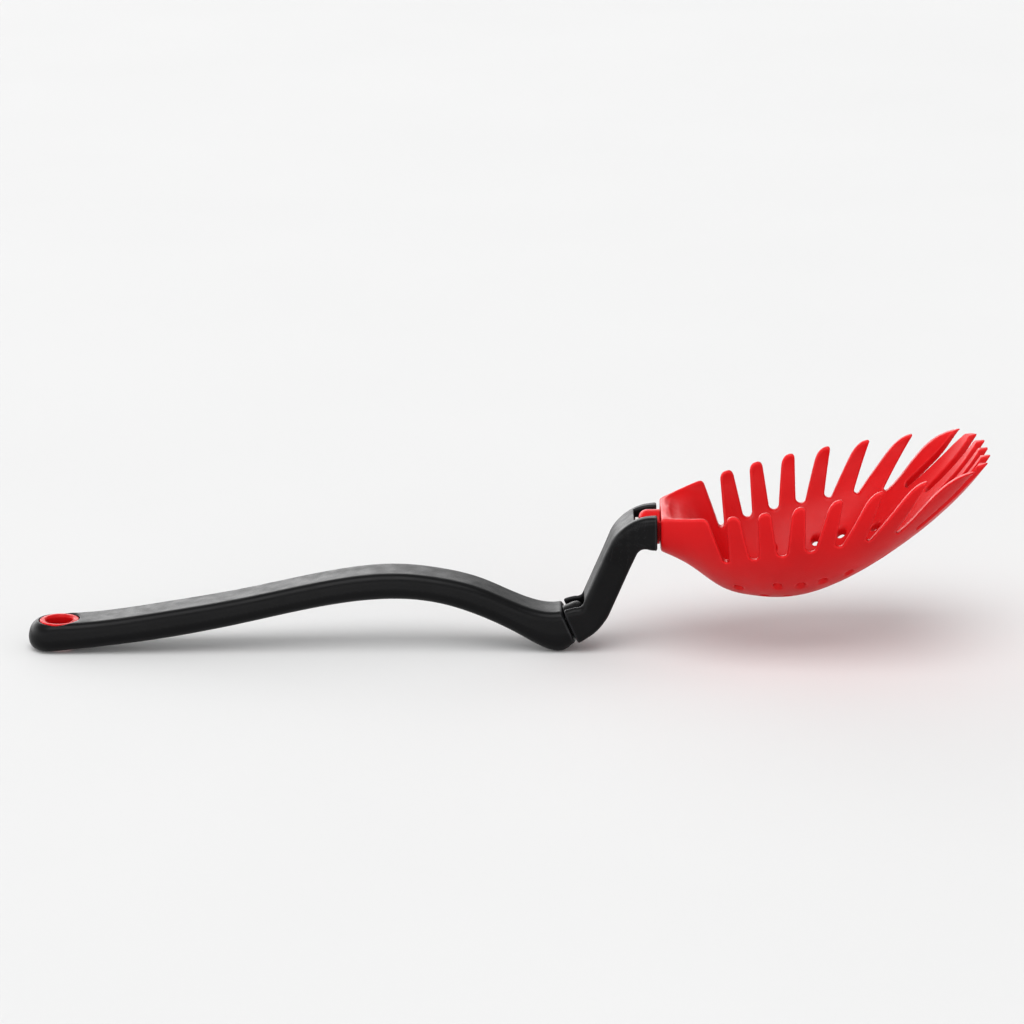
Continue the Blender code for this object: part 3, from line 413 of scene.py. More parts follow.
# Each hole's share of the head's length, and its share of the half width at that place
HOLES = (
    (0.246, 0.430), (0.360, 0.540), (0.430, 0.545), (0.495, 0.560), (0.572, 0.550), (0.674, 0.420),
    (0.325, 0.255), (0.396, 0.255), (0.467, 0.255), (0.538, 0.255), (0.609, 0.255),
)
TOOTH_EDGE = 0.0008
TINE_EDGE = 0.0003
TINE_EDGE_START = 0.70
TINE_EDGE_FADE = 0.2
SLOT_EDGE = 0.0004
HOLE_EDGE = 0.0009
INNER_EDGE_SHARE = 0.8
REAR_INNER_ROUND = 0.004
SOCKET_PAST = 0.010
BOWL_GRID_HALF_WIDTH = 0.0372
BOWL_GRID_LOW = -0.0262
BOWL_GRID_HIGH = 0.0300
# Limits of the trough's field, so that it stays tame where the trough is shallow or far away
LEAST_DEPTH = 0.0004
LEAST_SLOPE = 8.0
# Rounds that find which section of the swept-back trough a point lies in
SWEEP_ROUNDS = 3


def rim(x):
    """Height of the rim, which arches a little between its ends."""
    share = (x - SLIT2) / (HEAD_LENGTH - SLIT2)
    return RIM_REAR_HEIGHT + RIM_SLOPE * (x - SLIT2) + 4 * RIM_ARCH * share * (1 - share)


def wall(x):
    """The wall is a little thicker at the tines."""
    place = (x / HEAD_LENGTH - FRONT_WALL_START) / (FRONT_WALL_END - FRONT_WALL_START)
    return WALL + FRONT_EXTRA_WALL * smooth_step(place)


def inner_keel(x):
    """Height of the bowl's floor inside, with the shelf over its socket."""
    step = 0.0001
    slope = (KEEL(x + step) - KEEL(x - step)) / (2 * step)
    floor = KEEL(x) + wall(x) * np.hypot(1, slope)
    past = x - SHELF_LENGTH
    shelf = SHELF_HEIGHT - SHELF_SLOPE * 0.5 * (past + np.hypot(past, SHELF_ROUND))
    return 0.5 * (floor + shelf + np.hypot(floor - shelf, FLOOR_ROUND))


def line_table(function, before=0.004, past=0.006, count=1200):
    """A function of the place along the head, kept as a table for speed."""
    places = np.linspace(-before, HEAD_LENGTH + past, count)
    values = function(places)
    return lambda x: np.interp(x, places, values)


KEEL_TABLE = line_table(KEEL)
INNER_TABLE = line_table(inner_keel)
WIDTH_TABLE = line_table(HALF_WIDTH)
INNER_WIDTH_TABLE = line_table(lambda x: HALF_WIDTH(x) - wall(x))
POWER_TABLE = line_table(POWER)
SWEEP_TABLE = line_table(lambda x: smooth_step((x - NOSE_START) / (HEAD_LENGTH - NOSE_START)))


def nose_setback(y):
    """How far the front edge is set back, away from the middle."""
    return NOSE_SETBACK * np.minimum(np.abs(y) / NOSE_HALF_WIDTH, 1.0) ** NOSE_POWER


def trough_level(x, y, z, low_at, half_width_at):
    """Negative inside a trough whose sections are swept back at the front."""
    setback = nose_setback(y)
    section = x
    for _ in range(SWEEP_ROUNDS):
        section = x + SWEEP_TABLE(section) * setback
    power = POWER_TABLE(section)
    across = np.abs(y) / half_width_at(section)
    top = rim(x)
    depth = np.maximum(rim(section) - low_at(section), LEAST_DEPTH)
    down = np.maximum(top - z, 0.0) / depth
    return (across ** power + down ** power) ** (1 / power) - 1


def trough_field(low_at, half_width_at):
    """The trough's level divided by its slope, which is close to a distance near the wall."""
    def field(x, y, z):
        step = 0.0001
        level = trough_level(x, y, z, low_at, half_width_at)
        gx = (trough_level(x + step, y, z, low_at, half_width_at) - level) / step
        gy = (trough_level(x, y + step, z, low_at, half_width_at) - level) / step
        gz = (trough_level(x, y, z + step, low_at, half_width_at) - level) / step
        return level / np.maximum(np.sqrt(gx ** 2 + gy ** 2 + gz ** 2), LEAST_SLOPE)
    return field


def arc(centre, radius, first, last, count):
    """Points on part of a circle, from one angle in degrees to another."""
    turns = np.radians(np.linspace(first, last, count))
    return [(centre[0] + radius * math.cos(a), centre[1] + radius * math.sin(a)) for a in turns]


def rounded_corner(before, corner, after, near, far, count):
    """A curve that leaves a corner out, from a distance before it to a distance after it."""
    before, corner, after = np.array(before), np.array(corner), np.array(after)
    start = corner + (before - corner) * near / np.linalg.norm(before - corner)
    finish = corner + (after - corner) * far / np.linalg.norm(after - corner)
    return [tuple(start * (1 - t) ** 2 + corner * 2 * t * (1 - t) + finish * t * t)
            for t in np.linspace(0, 1, count)]


def notch(number):
    """Round foot of one notch. Its two flanks lean forward more and more towards the front."""
    x = FIRST_NOTCH + NOTCH_PITCH * number - NOTCH_BOW * math.sin(math.pi * number / SIDE_TEETH)
    radius = NOTCH_RADII[number]
    leaning = number / SIDE_TEETH
    first = NOTCH_REAR_ANGLE - NOTCH_REAR_TURN * leaning
    last = NOTCH_FRONT_ANGLE - NOTCH_FRONT_TURN * leaning ** NOTCH_FRONT_POWER
    return arc((x, rim(x) - NOTCH_DEPTH + radius), radius, first, last, count=18)


def tooth_outline(number, rear_foot, front_foot):
    """Side view of one tooth's tip. The more a tooth leans, the sharper its front corner."""
    middle = (FIRST_NOTCH + NOTCH_PITCH * (number + 0.5) + LEAN_FIRST + LEAN_STEP * number
              + LEAN_GROWTH * number ** 2)
    rear = (middle - TIP_HALF_WIDTH, rim(middle - TIP_HALF_WIDTH))
    front = (middle + TIP_HALF_WIDTH, rim(middle + TIP_HALF_WIDTH))
    leaning = (number / (SIDE_TEETH - 1)) ** TIP_LEAN_POWER
    sharpening = TIP_FRONT_SHARPENING * leaning
    return [
        *rounded_corner(rear_foot, rear, front, TIP_ROUND + TIP_REAR_ROUND_GROWTH * leaning,
                        TIP_HALF_WIDTH * (1 + sharpening), count=14),
        *rounded_corner(rear, front, front_foot, TIP_HALF_WIDTH * (1 - sharpening),
                        TIP_ROUND * (1 - sharpening), count=14)[1:],
    ]


def cutaway_outline():
    """Side view of all that is cut away: above the rim and between the side teeth."""
    rear = SLIT2 - CUT_PAST
    front = HEAD_LENGTH + CUT_PAST
    high = rim(HEAD_LENGTH) + 2 * CUT_PAST
    notches = [notch(number) for number in range(SIDE_TEETH + 1)]
    outline = [(rear, high), (rear, rim(rear))]
    outline += [(x, rim(x)) for x in np.linspace(SLIT2, REAR_WALL - REAR_WALL_ROUND, num=8)]
    corner = (REAR_WALL, rim(REAR_WALL))
    outline += rounded_corner(outline[-1], corner, notches[0][0], REAR_WALL_ROUND, REAR_WALL_ROUND,
                              count=12)[1:]
    for number in range(SIDE_TEETH):
        outline += notches[number]
        outline += tooth_outline(number, notches[number][-1], notches[number + 1][0])
    outline += notches[-1]
    start = np.array(outline[-1])
    finish = np.array((FRONT_EDGE_END, rim(FRONT_EDGE_END)))
    for t in np.linspace(0.1, 0.9, num=9):
        bow = FRONT_EDGE_BOW * FULL_BOW * t * t * (1 - t)
        outline.append(tuple(start + (finish - start) * t + np.array((-bow, bow))))
    outline += [(x, rim(x)) for x in np.linspace(FRONT_EDGE_END, front, num=12)]
    outline.append((front, high))
    return outline


def slot_side(middle_at, half_width_at, tip_y, side):
    """One edge of a slot in plan. It curves out at the front, so the tine beside it ends in a point."""
    tip_x = HEAD_LENGTH - float(nose_setback(tip_y + side * SLOT_SPACING / 2))
    widest = (SLOT_SPACING - TINE_TIP_WIDTH) / 2
    points = []
    for t in np.linspace(0, 1, num=12):
        x = tip_x - TINE_POINT_LENGTH * (1 - t)
        half_width = half_width_at(x)
        half_width += (widest - half_width) * t ** TINE_POINT_POWER
        points.append((x, middle_at(x) + side * half_width))
    points.append((HEAD_LENGTH + CUT_PAST, points[-1][1]))
    return points


def slot_outline(tip_y):
    """Plan of one slot between two front tines, narrow and round at its rear end."""
    rear_y = tip_y * SLOT_FAN
    rear_x = SLOT_REAR - SLOT_REAR_CURVE * tip_y ** 2
    share = 1 - (1 - SLOT_OUTER_SHARE) * (tip_y / OUTERMOST_SLOT) ** 2
    radius = SLOT_REAR_WIDTH / 2 * share

    def along(x):
        return (x - rear_x) / (HEAD_LENGTH - rear_x)

    def middle_at(x):
        return rear_y + (tip_y - rear_y) * along(x)

    def half_width_at(x):
        return share * (SLOT_REAR_WIDTH + (SLOT_TIP_WIDTH - SLOT_REAR_WIDTH) * along(x)) / 2

    outline = arc((rear_x + radius, rear_y), radius, *SLOT_REAR_ARC, count=16)
    outline += slot_side(middle_at, half_width_at, tip_y, -1)
    return outline + slot_side(middle_at, half_width_at, tip_y, 1)[::-1]


OUTER = trough_field(KEEL_TABLE, WIDTH_TABLE)
INNER = trough_field(INNER_TABLE, INNER_WIDTH_TABLE)
CUTAWAY = OutlineField(cutaway_outline())
SLOTS = [OutlineField(slot_outline(SLOT_SPACING * (k + 0.5))) for k in range(SLOT_PAIRS)]
HOLE_PLACES = [(share * HEAD_LENGTH, spread * float(HALF_WIDTH(share * HEAD_LENGTH)))
               for share, spread in HOLES]
EDGE_TABLE = line_table(lambda x: TOOTH_EDGE + (TINE_EDGE - TOOTH_EDGE)
                        * smooth_step((x / HEAD_LENGTH - TINE_EDGE_START) / TINE_EDGE_FADE))


def dowel_field(along, y, slit):
    """The two dowels of a plug as endless rods. The plug lies on the minus side of along."""
    return np.hypot(along + (PLUG_LENGTH + slit) / 2, np.abs(y) - DOWEL_SPREAD) - DOWEL_RADIUS


def bowl_field(x, y, z):
    edge = EDGE_TABLE(x)
    solid = round_max(OUTER(x, y, z), SLIT2 - x, TOOTH_EDGE)
    solid = round_max(solid, x - HEAD_LENGTH + nose_setback(y), TINE_EDGE)
    inside = round_max(INNER(x, y, z), SLIT2 + WALL - x, REAR_INNER_ROUND)
    solid = cut(solid, inside, edge * INNER_EDGE_SHARE)
    solid = cut(solid, CUTAWAY(x, z), edge)
    side = np.abs(y)
    for slot in SLOTS:
        solid = cut(solid, slot(x, side), np.minimum(edge, SLOT_EDGE))
    for place in HOLE_PLACES:
        solid = cut(solid, np.hypot(x - place[0], side - place[1]) - HOLE_RADIUS, HOLE_EDGE)
    socket = box_field(x, y, z, (-SOCKET_PAST, -PLUG_HALF_WIDTH, -PLUG_HALF_HEIGHT),
                       (SOCKET_DEPTH, PLUG_HALF_WIDTH, PLUG_HALF_HEIGHT))
    solid = cut(solid, socket, SMALL_EDGE)
    return cut(solid, np.maximum(dowel_field(-x, y, SLIT2), z), SMALL_EDGE)


def make_bowl():
    low = (SLIT2 - GRID_ROOM, -BOWL_GRID_HALF_WIDTH, BOWL_GRID_LOW)
    high = (HEAD_LENGTH + GRID_ROOM, BOWL_GRID_HALF_WIDTH, BOWL_GRID_HIGH)
    return field_mesh("bowl", bowl_field, low, high, grid_step(fine=0.00042), SWIVEL2)


# Handle, in the frame of the whole spoon
HANDLE_TOP_LINE = (
    (0.1885, 0.0105), (0.1700, 0.0110), (0.1420, 0.0147), (0.1140, 0.0196), (0.0861, 0.0255),
    (0.0584, 0.0283), (0.0446, 0.0267), (0.0309, 0.0231), (0.0102, 0.0148), (0.0060, 0.0144),
    (0.0032, 0.0147),
)
HANDLE_UNDER_LINE = (
    (0.1885, -0.0008), (0.1800, -0.0002), (0.1700, 0.0008), (0.1420, 0.0044), (0.1140, 0.0098),
    (0.0861, 0.0159), (0.0650, 0.0185), (0.0446, 0.0168), (0.0309, 0.0121), (0.0170, 0.0051),
    (0.0102, 0.0012), (0.0062, -0.0003), (0.0030, -0.0004), (-0.0019, 0.0031),
)
HANDLE_HALF_WIDTH = 0.0090
HANDLE_SIDE_LEAN = 0.0006
LEAN_TOP_INSET = 0.0011
HANDLE_TOP_BLEND = 0.0028
HANDLE_END_BLEND = 0.0022
HANDLE_END_BLEND_LENGTH = 0.012
HANDLE_FACE_EDGE = 0.0008
HANDLE_PLAN_ROUND = 0.0085
HANDLE_END_TRIM = 0.0002
UNDERSIDE_POWER = 2.7
# The smooth handle starts this far above the plane it rests on, so that it stays in the solid's box
REST_CLEARANCE = 0.00002
HANDLE_GRID_HALF_WIDTH = 0.0098
HANDLE_GRID_HIGH = 0.0296
HANDLE_GRID_FRONT = 0.003
RING_FROM_END = 0.0110
RING_HOLE_RADIUS = 0.0047
RING_BARREL_RADIUS = 0.0059
RING_FLANGE_RADIUS = 0.0068
RING_FLANGE_THICKNESS = 0.0015
RING_RECESS = 0.0002
RING_FOOT_CLEARANCE = 0.0010
RING_SEAT_EDGE = 0.0005
RING_MOUTH_DROP = 0.0002
RING_MOUTH_WIDTH = 0.0006
RING_SHARP_ANGLE = math.radians(35)
COS_TILT = math.cos(TILT)
SIN_TILT = math.sin(TILT)


def handle_line(points, before=0.003, past=0.006, count=1500):
    """A curve along the handle, kept as a table, from places back from the first swivel and heights."""
    places = np.linspace(-HANDLE_LENGTH - before, past, count)
    values = spline([(-back, height) for back, height in points])(places)
    return lambda x: np.interp(x, places, values)


TOP_LINE = handle_line(HANDLE_TOP_LINE)
UNDER_LINE = handle_line(HANDLE_UNDER_LINE)


def swivel1_frame(x, z):
    """Places along the first swivel's axis and up from it."""
    back = x - SWIVEL1[0]
    rise = z - SWIVEL1[2]
    return back * COS_TILT + rise * SIN_TILT, rise * COS_TILT - back * SIN_TILT


RING_X = SWIVEL1[0] - HANDLE_LENGTH + RING_FROM_END
RING_TOP = float(TOP_LINE(RING_FROM_END - HANDLE_LENGTH))
RING_FOOT = max(float(UNDER_LINE(RING_FROM_END - HANDLE_LENGTH)), 0.0)


def handle_body(x, y, z):
    """The handle without its front face, hanging hole and socket."""
    place = x - SWIVEL1[0]
    top = TOP_LINE(place)
    low = UNDER_LINE(place)
    half = (top - low) / 2
    up = z - (top + low) / 2
    side = np.abs(y) / HANDLE_HALF_WIDTH
    from_end = place + HANDLE_LENGTH - HANDLE_END_TRIM
    share = np.maximum(1 - from_end / HANDLE_PLAN_ROUND, 0)
    around = np.hypot(side, share)
    # Above the middle the sides lean in a little, and below it the section is a rounded belly
    lean = HANDLE_SIDE_LEAN * np.maximum(up, 0) / (half - LEAN_TOP_INSET)
    upper = HANDLE_HALF_WIDTH * (around - 1) + lean
    down = np.maximum(-up, 0) / half
    power = UNDERSIDE_POWER
    level = (around ** power + down ** power) ** (1 / power)
    slope = np.hypot((around / level) ** (power - 1),
                     (down / level) ** (power - 1) * HANDLE_HALF_WIDTH / half)
    lower = HANDLE_HALF_WIDTH * (level - 1) / slope
    solid = np.where(up > 0, upper, lower)
    step = 0.0005
    steep = (TOP_LINE(place + step) - TOP_LINE(place - step)) / (2 * step)
    blend = HANDLE_TOP_BLEND + HANDLE_END_BLEND * smooth_step(1 - from_end / HANDLE_END_BLEND_LENGTH)
    solid = round_max(solid, (z - top) / np.hypot(1, steep), blend)
    return np.maximum(solid, REST_CLEARANCE - z)


def handle_field(x, y, z):
    along, rise = swivel1_frame(x, z)
    solid = round_max(handle_body(x, y, z), along + SLIT1, HANDLE_FACE_EDGE)
    away = np.hypot(x - RING_X, y)
    seat = RING_FLANGE_RADIUS + SEAT_GAP
    shelf = RING_TOP - RING_RECESS - RING_FLANGE_THICKNESS - SEAT_GAP
    ledge = RING_FOOT + RING_FOOT_CLEARANCE - SEAT_GAP
    solid = cut(solid, away - RING_HOLE_RADIUS, SMALL_EDGE)
    solid = cut(solid, np.maximum(away - RING_BARREL_RADIUS - SEAT_GAP, ledge - z), FINE_EDGE)
    solid = cut(solid, np.maximum(away - seat, shelf - z), RING_SEAT_EDGE)
    socket = box_field(along, y, rise, (-SOCKET_DEPTH, -PLUG_HALF_WIDTH, -PLUG_HALF_HEIGHT),
                       (CUT_PAST, PLUG_HALF_WIDTH, PLUG_HALF_HEIGHT))
    solid = cut(solid, socket, SMALL_EDGE)
    return cut(solid, np.maximum(dowel_field(along, y, SLIT1), rise), SMALL_EDGE)


def make_handle():
    low = (SWIVEL1[0] - HANDLE_LENGTH - GRID_ROOM, -HANDLE_GRID_HALF_WIDTH, -GRID_ROOM)
    high = (SWIVEL1[0] + HANDLE_GRID_FRONT, HANDLE_GRID_HALF_WIDTH, HANDLE_GRID_HIGH)
    return field_mesh("handle", handle_field, low, high, grid_step(fine=0.0004))


def turned_mesh(name, profile, place, facets=96):
    """A ring turned about a vertical axis from a closed profile of (radius, height) points."""
    count = len(profile)
    points = []
    for k in range(facets):
        a = 2 * math.pi * k / facets
        points += [(place[0] + r * math.cos(a), r * math.sin(a), place[1] + h) for r, h in profile]
    faces = []
    for k in range(facets):
        near, far = k * count, (k + 1) % facets * count
        for i in range(count):
            j = (i + 1) % count
            faces.append((near + i, far + i, far + j, near + j))
    piece = new_piece(name, points, faces)
    piece.data.set_sharp_from_angle(angle=RING_SHARP_ANGLE)
    return piece


def rounded_profile(corners, steps=5):
    """A closed profile with each corner (radius, height, rounding) turned into an arc."""
    profile = []
    count = len(corners)
    for i, (r, h, size) in enumerate(corners):
        here = np.array((r, h))
        before = np.array(corners[i - 1][:2]) - here
        after = np.array(corners[(i + 1) % count][:2]) - here
        before /= np.linalg.norm(before)
        after /= np.linalg.norm(after)
        start, finish = here + before * size, here + after * size
        for k in range(steps + 1):
            t = k / steps
            profile.append(tuple(start * (1 - t) ** 2 + here * 2 * t * (1 - t) + finish * t * t))
    return profile


def make_hang_ring():
    """Red eyelet: a flange on top and a long barrel through the handle. Each corner ends in its rounding."""
    face = RING_TOP - RING_RECESS
    shoulder = face - RING_FLANGE_THICKNESS
    foot = RING_FOOT + RING_FOOT_CLEARANCE
    corners = (
        (RING_HOLE_RADIUS, foot, 0.0003),
        (RING_HOLE_RADIUS, face - RING_MOUTH_DROP, 0.0008),
        (RING_HOLE_RADIUS + RING_MOUTH_WIDTH, face, 0.0003),
        (RING_FLANGE_RADIUS, face, 0.0004),
        (RING_FLANGE_RADIUS, shoulder, 0.0002),
        (RING_BARREL_RADIUS, shoulder, 0.0001),
        (RING_BARREL_RADIUS, foot, 0.0003),
    )
    return turned_mesh("hang_eyelet", rounded_profile(corners)[::-1], (RING_X, 0.0))


# Elbow
ELBOW_MID_THICKNESS = 0.0100
ELBOW_JOINT1_WIDTH = 0.0182
ELBOW_MID_WIDTH = 0.0174
ELBOW_JOINT2_WIDTH = 0.0236
ELBOW_TAPER_LENGTH = 0.010
ELBOW_FLARE_LENGTH = 0.020
ELBOW_LOWER_REACH = 0.0080
ELBOW_UPPER_REACH = 0.0090
ELBOW_LOWER_BEND = 0.0095
ELBOW_UPPER_BEND = 0.0100
ELBOW_EDGE_BLEND = 0.0026
JOINT1_THICKNESS = 0.0128
JOINT2_THICKNESS = 0.0118
FORK_DEPTH = 0.0077
FORK_HALF_WIDTH = 0.0063
AXLE_BORE_RADIUS = 0.0016
AXLE_BORE_DEPTH = 0.0108
STOP_INNER_RADIUS = 0.0040
STOP_OUTER_RADIUS = 0.0053
STOP_DEPTH = 0.0014
STOP_HALF_ANGLE = math.radians(10)
STOP_SWEEP = math.radians(104)
GROOVE_OVERLAP = 0.001
ELBOW_FACE_EDGE = 0.0007
FORK_EDGE = 0.0008
# Steps along the elbow's middle, and of the grid that keeps its half width
ELBOW_SPACING = 0.0004
ELBOW_GRID_REAR = 0.004
ELBOW_GRID_HALF_WIDTH = 0.0125
ELBOW_GRID_TOP = 0.0075


def elbow_path():
    """Places and angles along the elbow's middle, run out a little past both ends."""
    start = np.array((SWIVEL1[0], SWIVEL1[2]))
    finish = np.array((SWIVEL2[0], SWIVEL2[2]))
    along = np.array((COS_TILT, SIN_TILT))
    corners = [start, start + along * ELBOW_LOWER_REACH, finish - np.array((ELBOW_UPPER_REACH, 0)), finish]
    stations = []
    for i, radius in ((1, ELBOW_LOWER_BEND), (2, ELBOW_UPPER_BEND)):
        into = (corners[i] - corners[i - 1]) / np.linalg.norm(corners[i] - corners[i - 1])
        out = (corners[i + 1] - corners[i]) / np.linalg.norm(corners[i + 1] - corners[i])
        first, last = math.atan2(into[1], into[0]), math.atan2(out[1], out[0])
        side = 1 if last > first else -1
        begin = corners[i] - into * radius * math.tan(abs(last - first) / 2)
        centre = begin + np.array((-into[1], into[0])) * side * radius
        for angle in np.linspace(first, last, num=24):
            away = np.array((math.sin(angle), -math.cos(angle))) * side
            stations.append((centre + away * radius, angle))
    ends = ((start, stations[0][1]), (finish, stations[-1][1]))
    run = [ends[0]]
    for station in [*stations, ends[1]]:
        before, after = run[-1], station
        length = np.linalg.norm(after[0] - before[0])
        count = max(int(length / ELBOW_SPACING), 1)
        for k in range(1, count + 1):
            t = k / count
            run.append((before[0] * (1 - t) + after[0] * t, before[1] * (1 - t) + after[1] * t))
    return run


class ElbowTables:
    """The elbow's side outline, and its half width looked up by the nearest place along its middle."""

    def __init__(self):
        path = elbow_path()
        places = np.array([p for p, _ in path])
        angles = np.array([a for _, a in path])
        lengths = np.concatenate(([0], np.cumsum(np.linalg.norm(np.diff(places, axis=0), axis=1))))
        left = lengths[-1] - lengths
        lower = smooth_step(1 - lengths / ELBOW_TAPER_LENGTH)
        upper = smooth_step(1 - left / ELBOW_TAPER_LENGTH)
        flare = np.maximum(1 - left / ELBOW_FLARE_LENGTH, 0)
        width = (ELBOW_MID_WIDTH + (ELBOW_JOINT1_WIDTH - ELBOW_MID_WIDTH) * lower
                 + (ELBOW_JOINT2_WIDTH - ELBOW_MID_WIDTH) * flare)
        thickness = (ELBOW_MID_THICKNESS + (JOINT1_THICKNESS - ELBOW_MID_THICKNESS) * lower
                     + (JOINT2_THICKNESS - ELBOW_MID_THICKNESS) * upper)
        up = np.stack((-np.sin(angles), np.cos(angles)), 1)
        tops = places + up * thickness[:, None] / 2
        lows = places - up * thickness[:, None] / 2
        past = 0.002
        first = np.array((COS_TILT, SIN_TILT)) * past
        last = np.array((past, 0))
        outline = [tops[0] - first, *tops, tops[-1] + last, lows[-1] + last, *lows[::-1], lows[0] - first]
        self.side = OutlineField(outline)
        self.low = self.side.low
        size = (self.side.size * self.side.step / ELBOW_SPACING).astype(int) + 2
        gu, gv = flat_grid(self.low, size, ELBOW_SPACING)
        distance = (gu[..., None] - places[:, 0]) ** 2 + (gv[..., None] - places[:, 1]) ** 2
        self.half = width[np.argmin(distance, axis=2)] / 2

    def half_width(self, x, z):
        return look_up(self.half, self.low, ELBOW_SPACING, x, z)


ELBOW = ElbowTables()


def stop_field(along, y, up, middle, sweep, inner, outer, low, high):
    """A block of a ring about a swivel's axis. Angles run from y towards up."""
    away = np.hypot(y, up)
    turn = np.arctan2(up, y) - middle
    turn = np.abs((turn + math.pi) % (2 * math.pi) - math.pi)
    return np.maximum.reduce([inner - away, away - outer, (turn - sweep) * away, low - along, along - high])


def swivel_cuts(along, y, up, groove_middle):
    """Fork slot, axle bore and stop groove, in a frame with its first axis into the elbow."""
    slot = np.maximum(np.abs(y) - FORK_HALF_WIDTH, along - FORK_DEPTH)
    bore = np.maximum(np.hypot(y, up) - AXLE_BORE_RADIUS, along - AXLE_BORE_DEPTH)
    groove = stop_field(along, y, up, groove_middle, STOP_SWEEP, STOP_INNER_RADIUS - SEAT_GAP,
                        STOP_OUTER_RADIUS + SEAT_GAP, FORK_DEPTH - GROOVE_OVERLAP, FORK_DEPTH + STOP_DEPTH)
    return slot, np.minimum(bore, groove)


def elbow_field(x, y, z):
    solid = round_max(ELBOW.side(x, z), np.abs(y) - ELBOW.half_width(x, z), ELBOW_EDGE_BLEND)
    along, up = swivel1_frame(x, z)
    solid = round_max(solid, -along, ELBOW_FACE_EDGE)
    solid = round_max(solid, x - SWIVEL2[0], ELBOW_FACE_EDGE)
    for frame, middle in (((along, y, up), math.pi / 2),
                          ((SWIVEL2[0] - x, -y, z - SWIVEL2[2]), -math.pi / 2)):
        slot, hollows = swivel_cuts(*frame, middle)
        solid = cut(solid, slot, FORK_EDGE)
        solid = cut(solid, hollows, FINE_EDGE)
    return solid


def make_elbow():
    low = (SWIVEL1[0] - ELBOW_GRID_REAR, -ELBOW_GRID_HALF_WIDTH, 0.0)
    high = (SWIVEL2[0] + GRID_ROOM, ELBOW_GRID_HALF_WIDTH, SWIVEL2[2] + ELBOW_GRID_TOP)
    return field_mesh("elbow", elbow_field, low, high, grid_step(fine=0.00035))


# Spigots, in their swivel's frame
SPIGOT_RADIUS = 0.0060
SPIGOT_LENGTH = 0.0064
SPIGOT_NOSE_BLEND = 0.0036
BUSH_SEAT_RADIUS = 0.0026
BUSH_FLANGE_SEAT_RADIUS = 0.0034
BUSH_SHOULDER = 0.0050
LUG_CLEARANCE = 0.0003
DOWEL_TOP = 0.0027
SPIGOT_GRID_LOW = (-0.0052, -0.0071, -0.0066)
SPIGOT_GRID_HIGH = (0.0095, 0.0071, 0.0066)


def spigot_field(slit, stop_angle):
    """A round boss with a rounded nose, a stop lug, and a plug that starts within the slit."""
    def field(along, y, up):
        away = np.hypot(y, up)
        barrel = round_max(away - SPIGOT_RADIUS, along - SPIGOT_LENGTH, SPIGOT_NOSE_BLEND)
        barrel = round_max(barrel, SEAT_GAP - slit - along, SMALL_EDGE)
        plug_width, plug_height = PLUG_HALF_WIDTH - SEAT_GAP, PLUG_HALF_HEIGHT - SEAT_GAP
        plug = box_field(along, y, up, (-PLUG_LENGTH, -plug_width, -plug_height),
                         (-slit / 4, plug_width, plug_height))
        solid = round_min(barrel, plug, SMALL_EDGE)
        lug = stop_field(along, y, up, stop_angle, STOP_HALF_ANGLE, STOP_INNER_RADIUS, STOP_OUTER_RADIUS,
                         SPIGOT_LENGTH / 2, FORK_DEPTH + STOP_DEPTH - LUG_CLEARANCE)
        solid = round_min(solid, lug, FINE_EDGE)
        solid = cut(solid, away - BUSH_SEAT_RADIUS, FINE_EDGE)
        solid = cut(solid, np.maximum(away - BUSH_FLANGE_SEAT_RADIUS, BUSH_SHOULDER - along), SMALL_EDGE)
        return cut(solid, np.maximum(dowel_field(along, y, slit), up - DOWEL_TOP), FINE_EDGE)
    return field


def make_spigot(name, slit, stop_angle, matrix):
    piece = field_mesh(name, spigot_field(slit, stop_angle), SPIGOT_GRID_LOW, SPIGOT_GRID_HIGH,
                       grid_step(fine=0.00022))
    piece.data.transform(matrix)
    return piece


# Materials
RED_DEEP = (0.500, 0.0042, 0.0064)
RED_BRIGHT = (0.560, 0.0050, 0.0076)
RED_WORN = (0.66, 0.020, 0.024)
BLACK_DEEP = (0.0036, 0.0036, 0.0040)
BLACK_BRIGHT = (0.0060, 0.0060, 0.0066)
BLACK_WORN = (0.024, 0.024, 0.026)
STEEL_DARK = (0.46, 0.47, 0.49)
STEEL_BRIGHT = (0.66, 0.67, 0.69)
WHITE_DULL = (0.70, 0.70, 0.66)
WHITE_BRIGHT = (0.80, 0.80, 0.77)
RUBBER_DARK = (0.018, 0.018, 0.018)
RUBBER_PALE = (0.030, 0.030, 0.030)
FLOOR_DULL = (0.600, 0.600, 0.600)
FLOOR_BRIGHT = (0.610, 0.610, 0.610)
FLOOR_GLOW = 0.05
FLOOR_SIZE = 4.0
GRAIN_HEIGHT = 0.00007
WAVE_HEIGHT = 0.00003


def mix_node(tree, kind, share, first, second):
    """A mix of two numbers or colours, each a plain value or another node's output."""
    made = tree.nodes.new("ShaderNodeMix")
    made.data_type = kind
    for name, value in (("Factor", share), ("A", first), ("B", second)):
        if hasattr(value, "is_output"):
            tree.links.new(value, made.inputs[name])
        else:
            made.inputs[name].default_value = value
    return made.outputs["Result"]


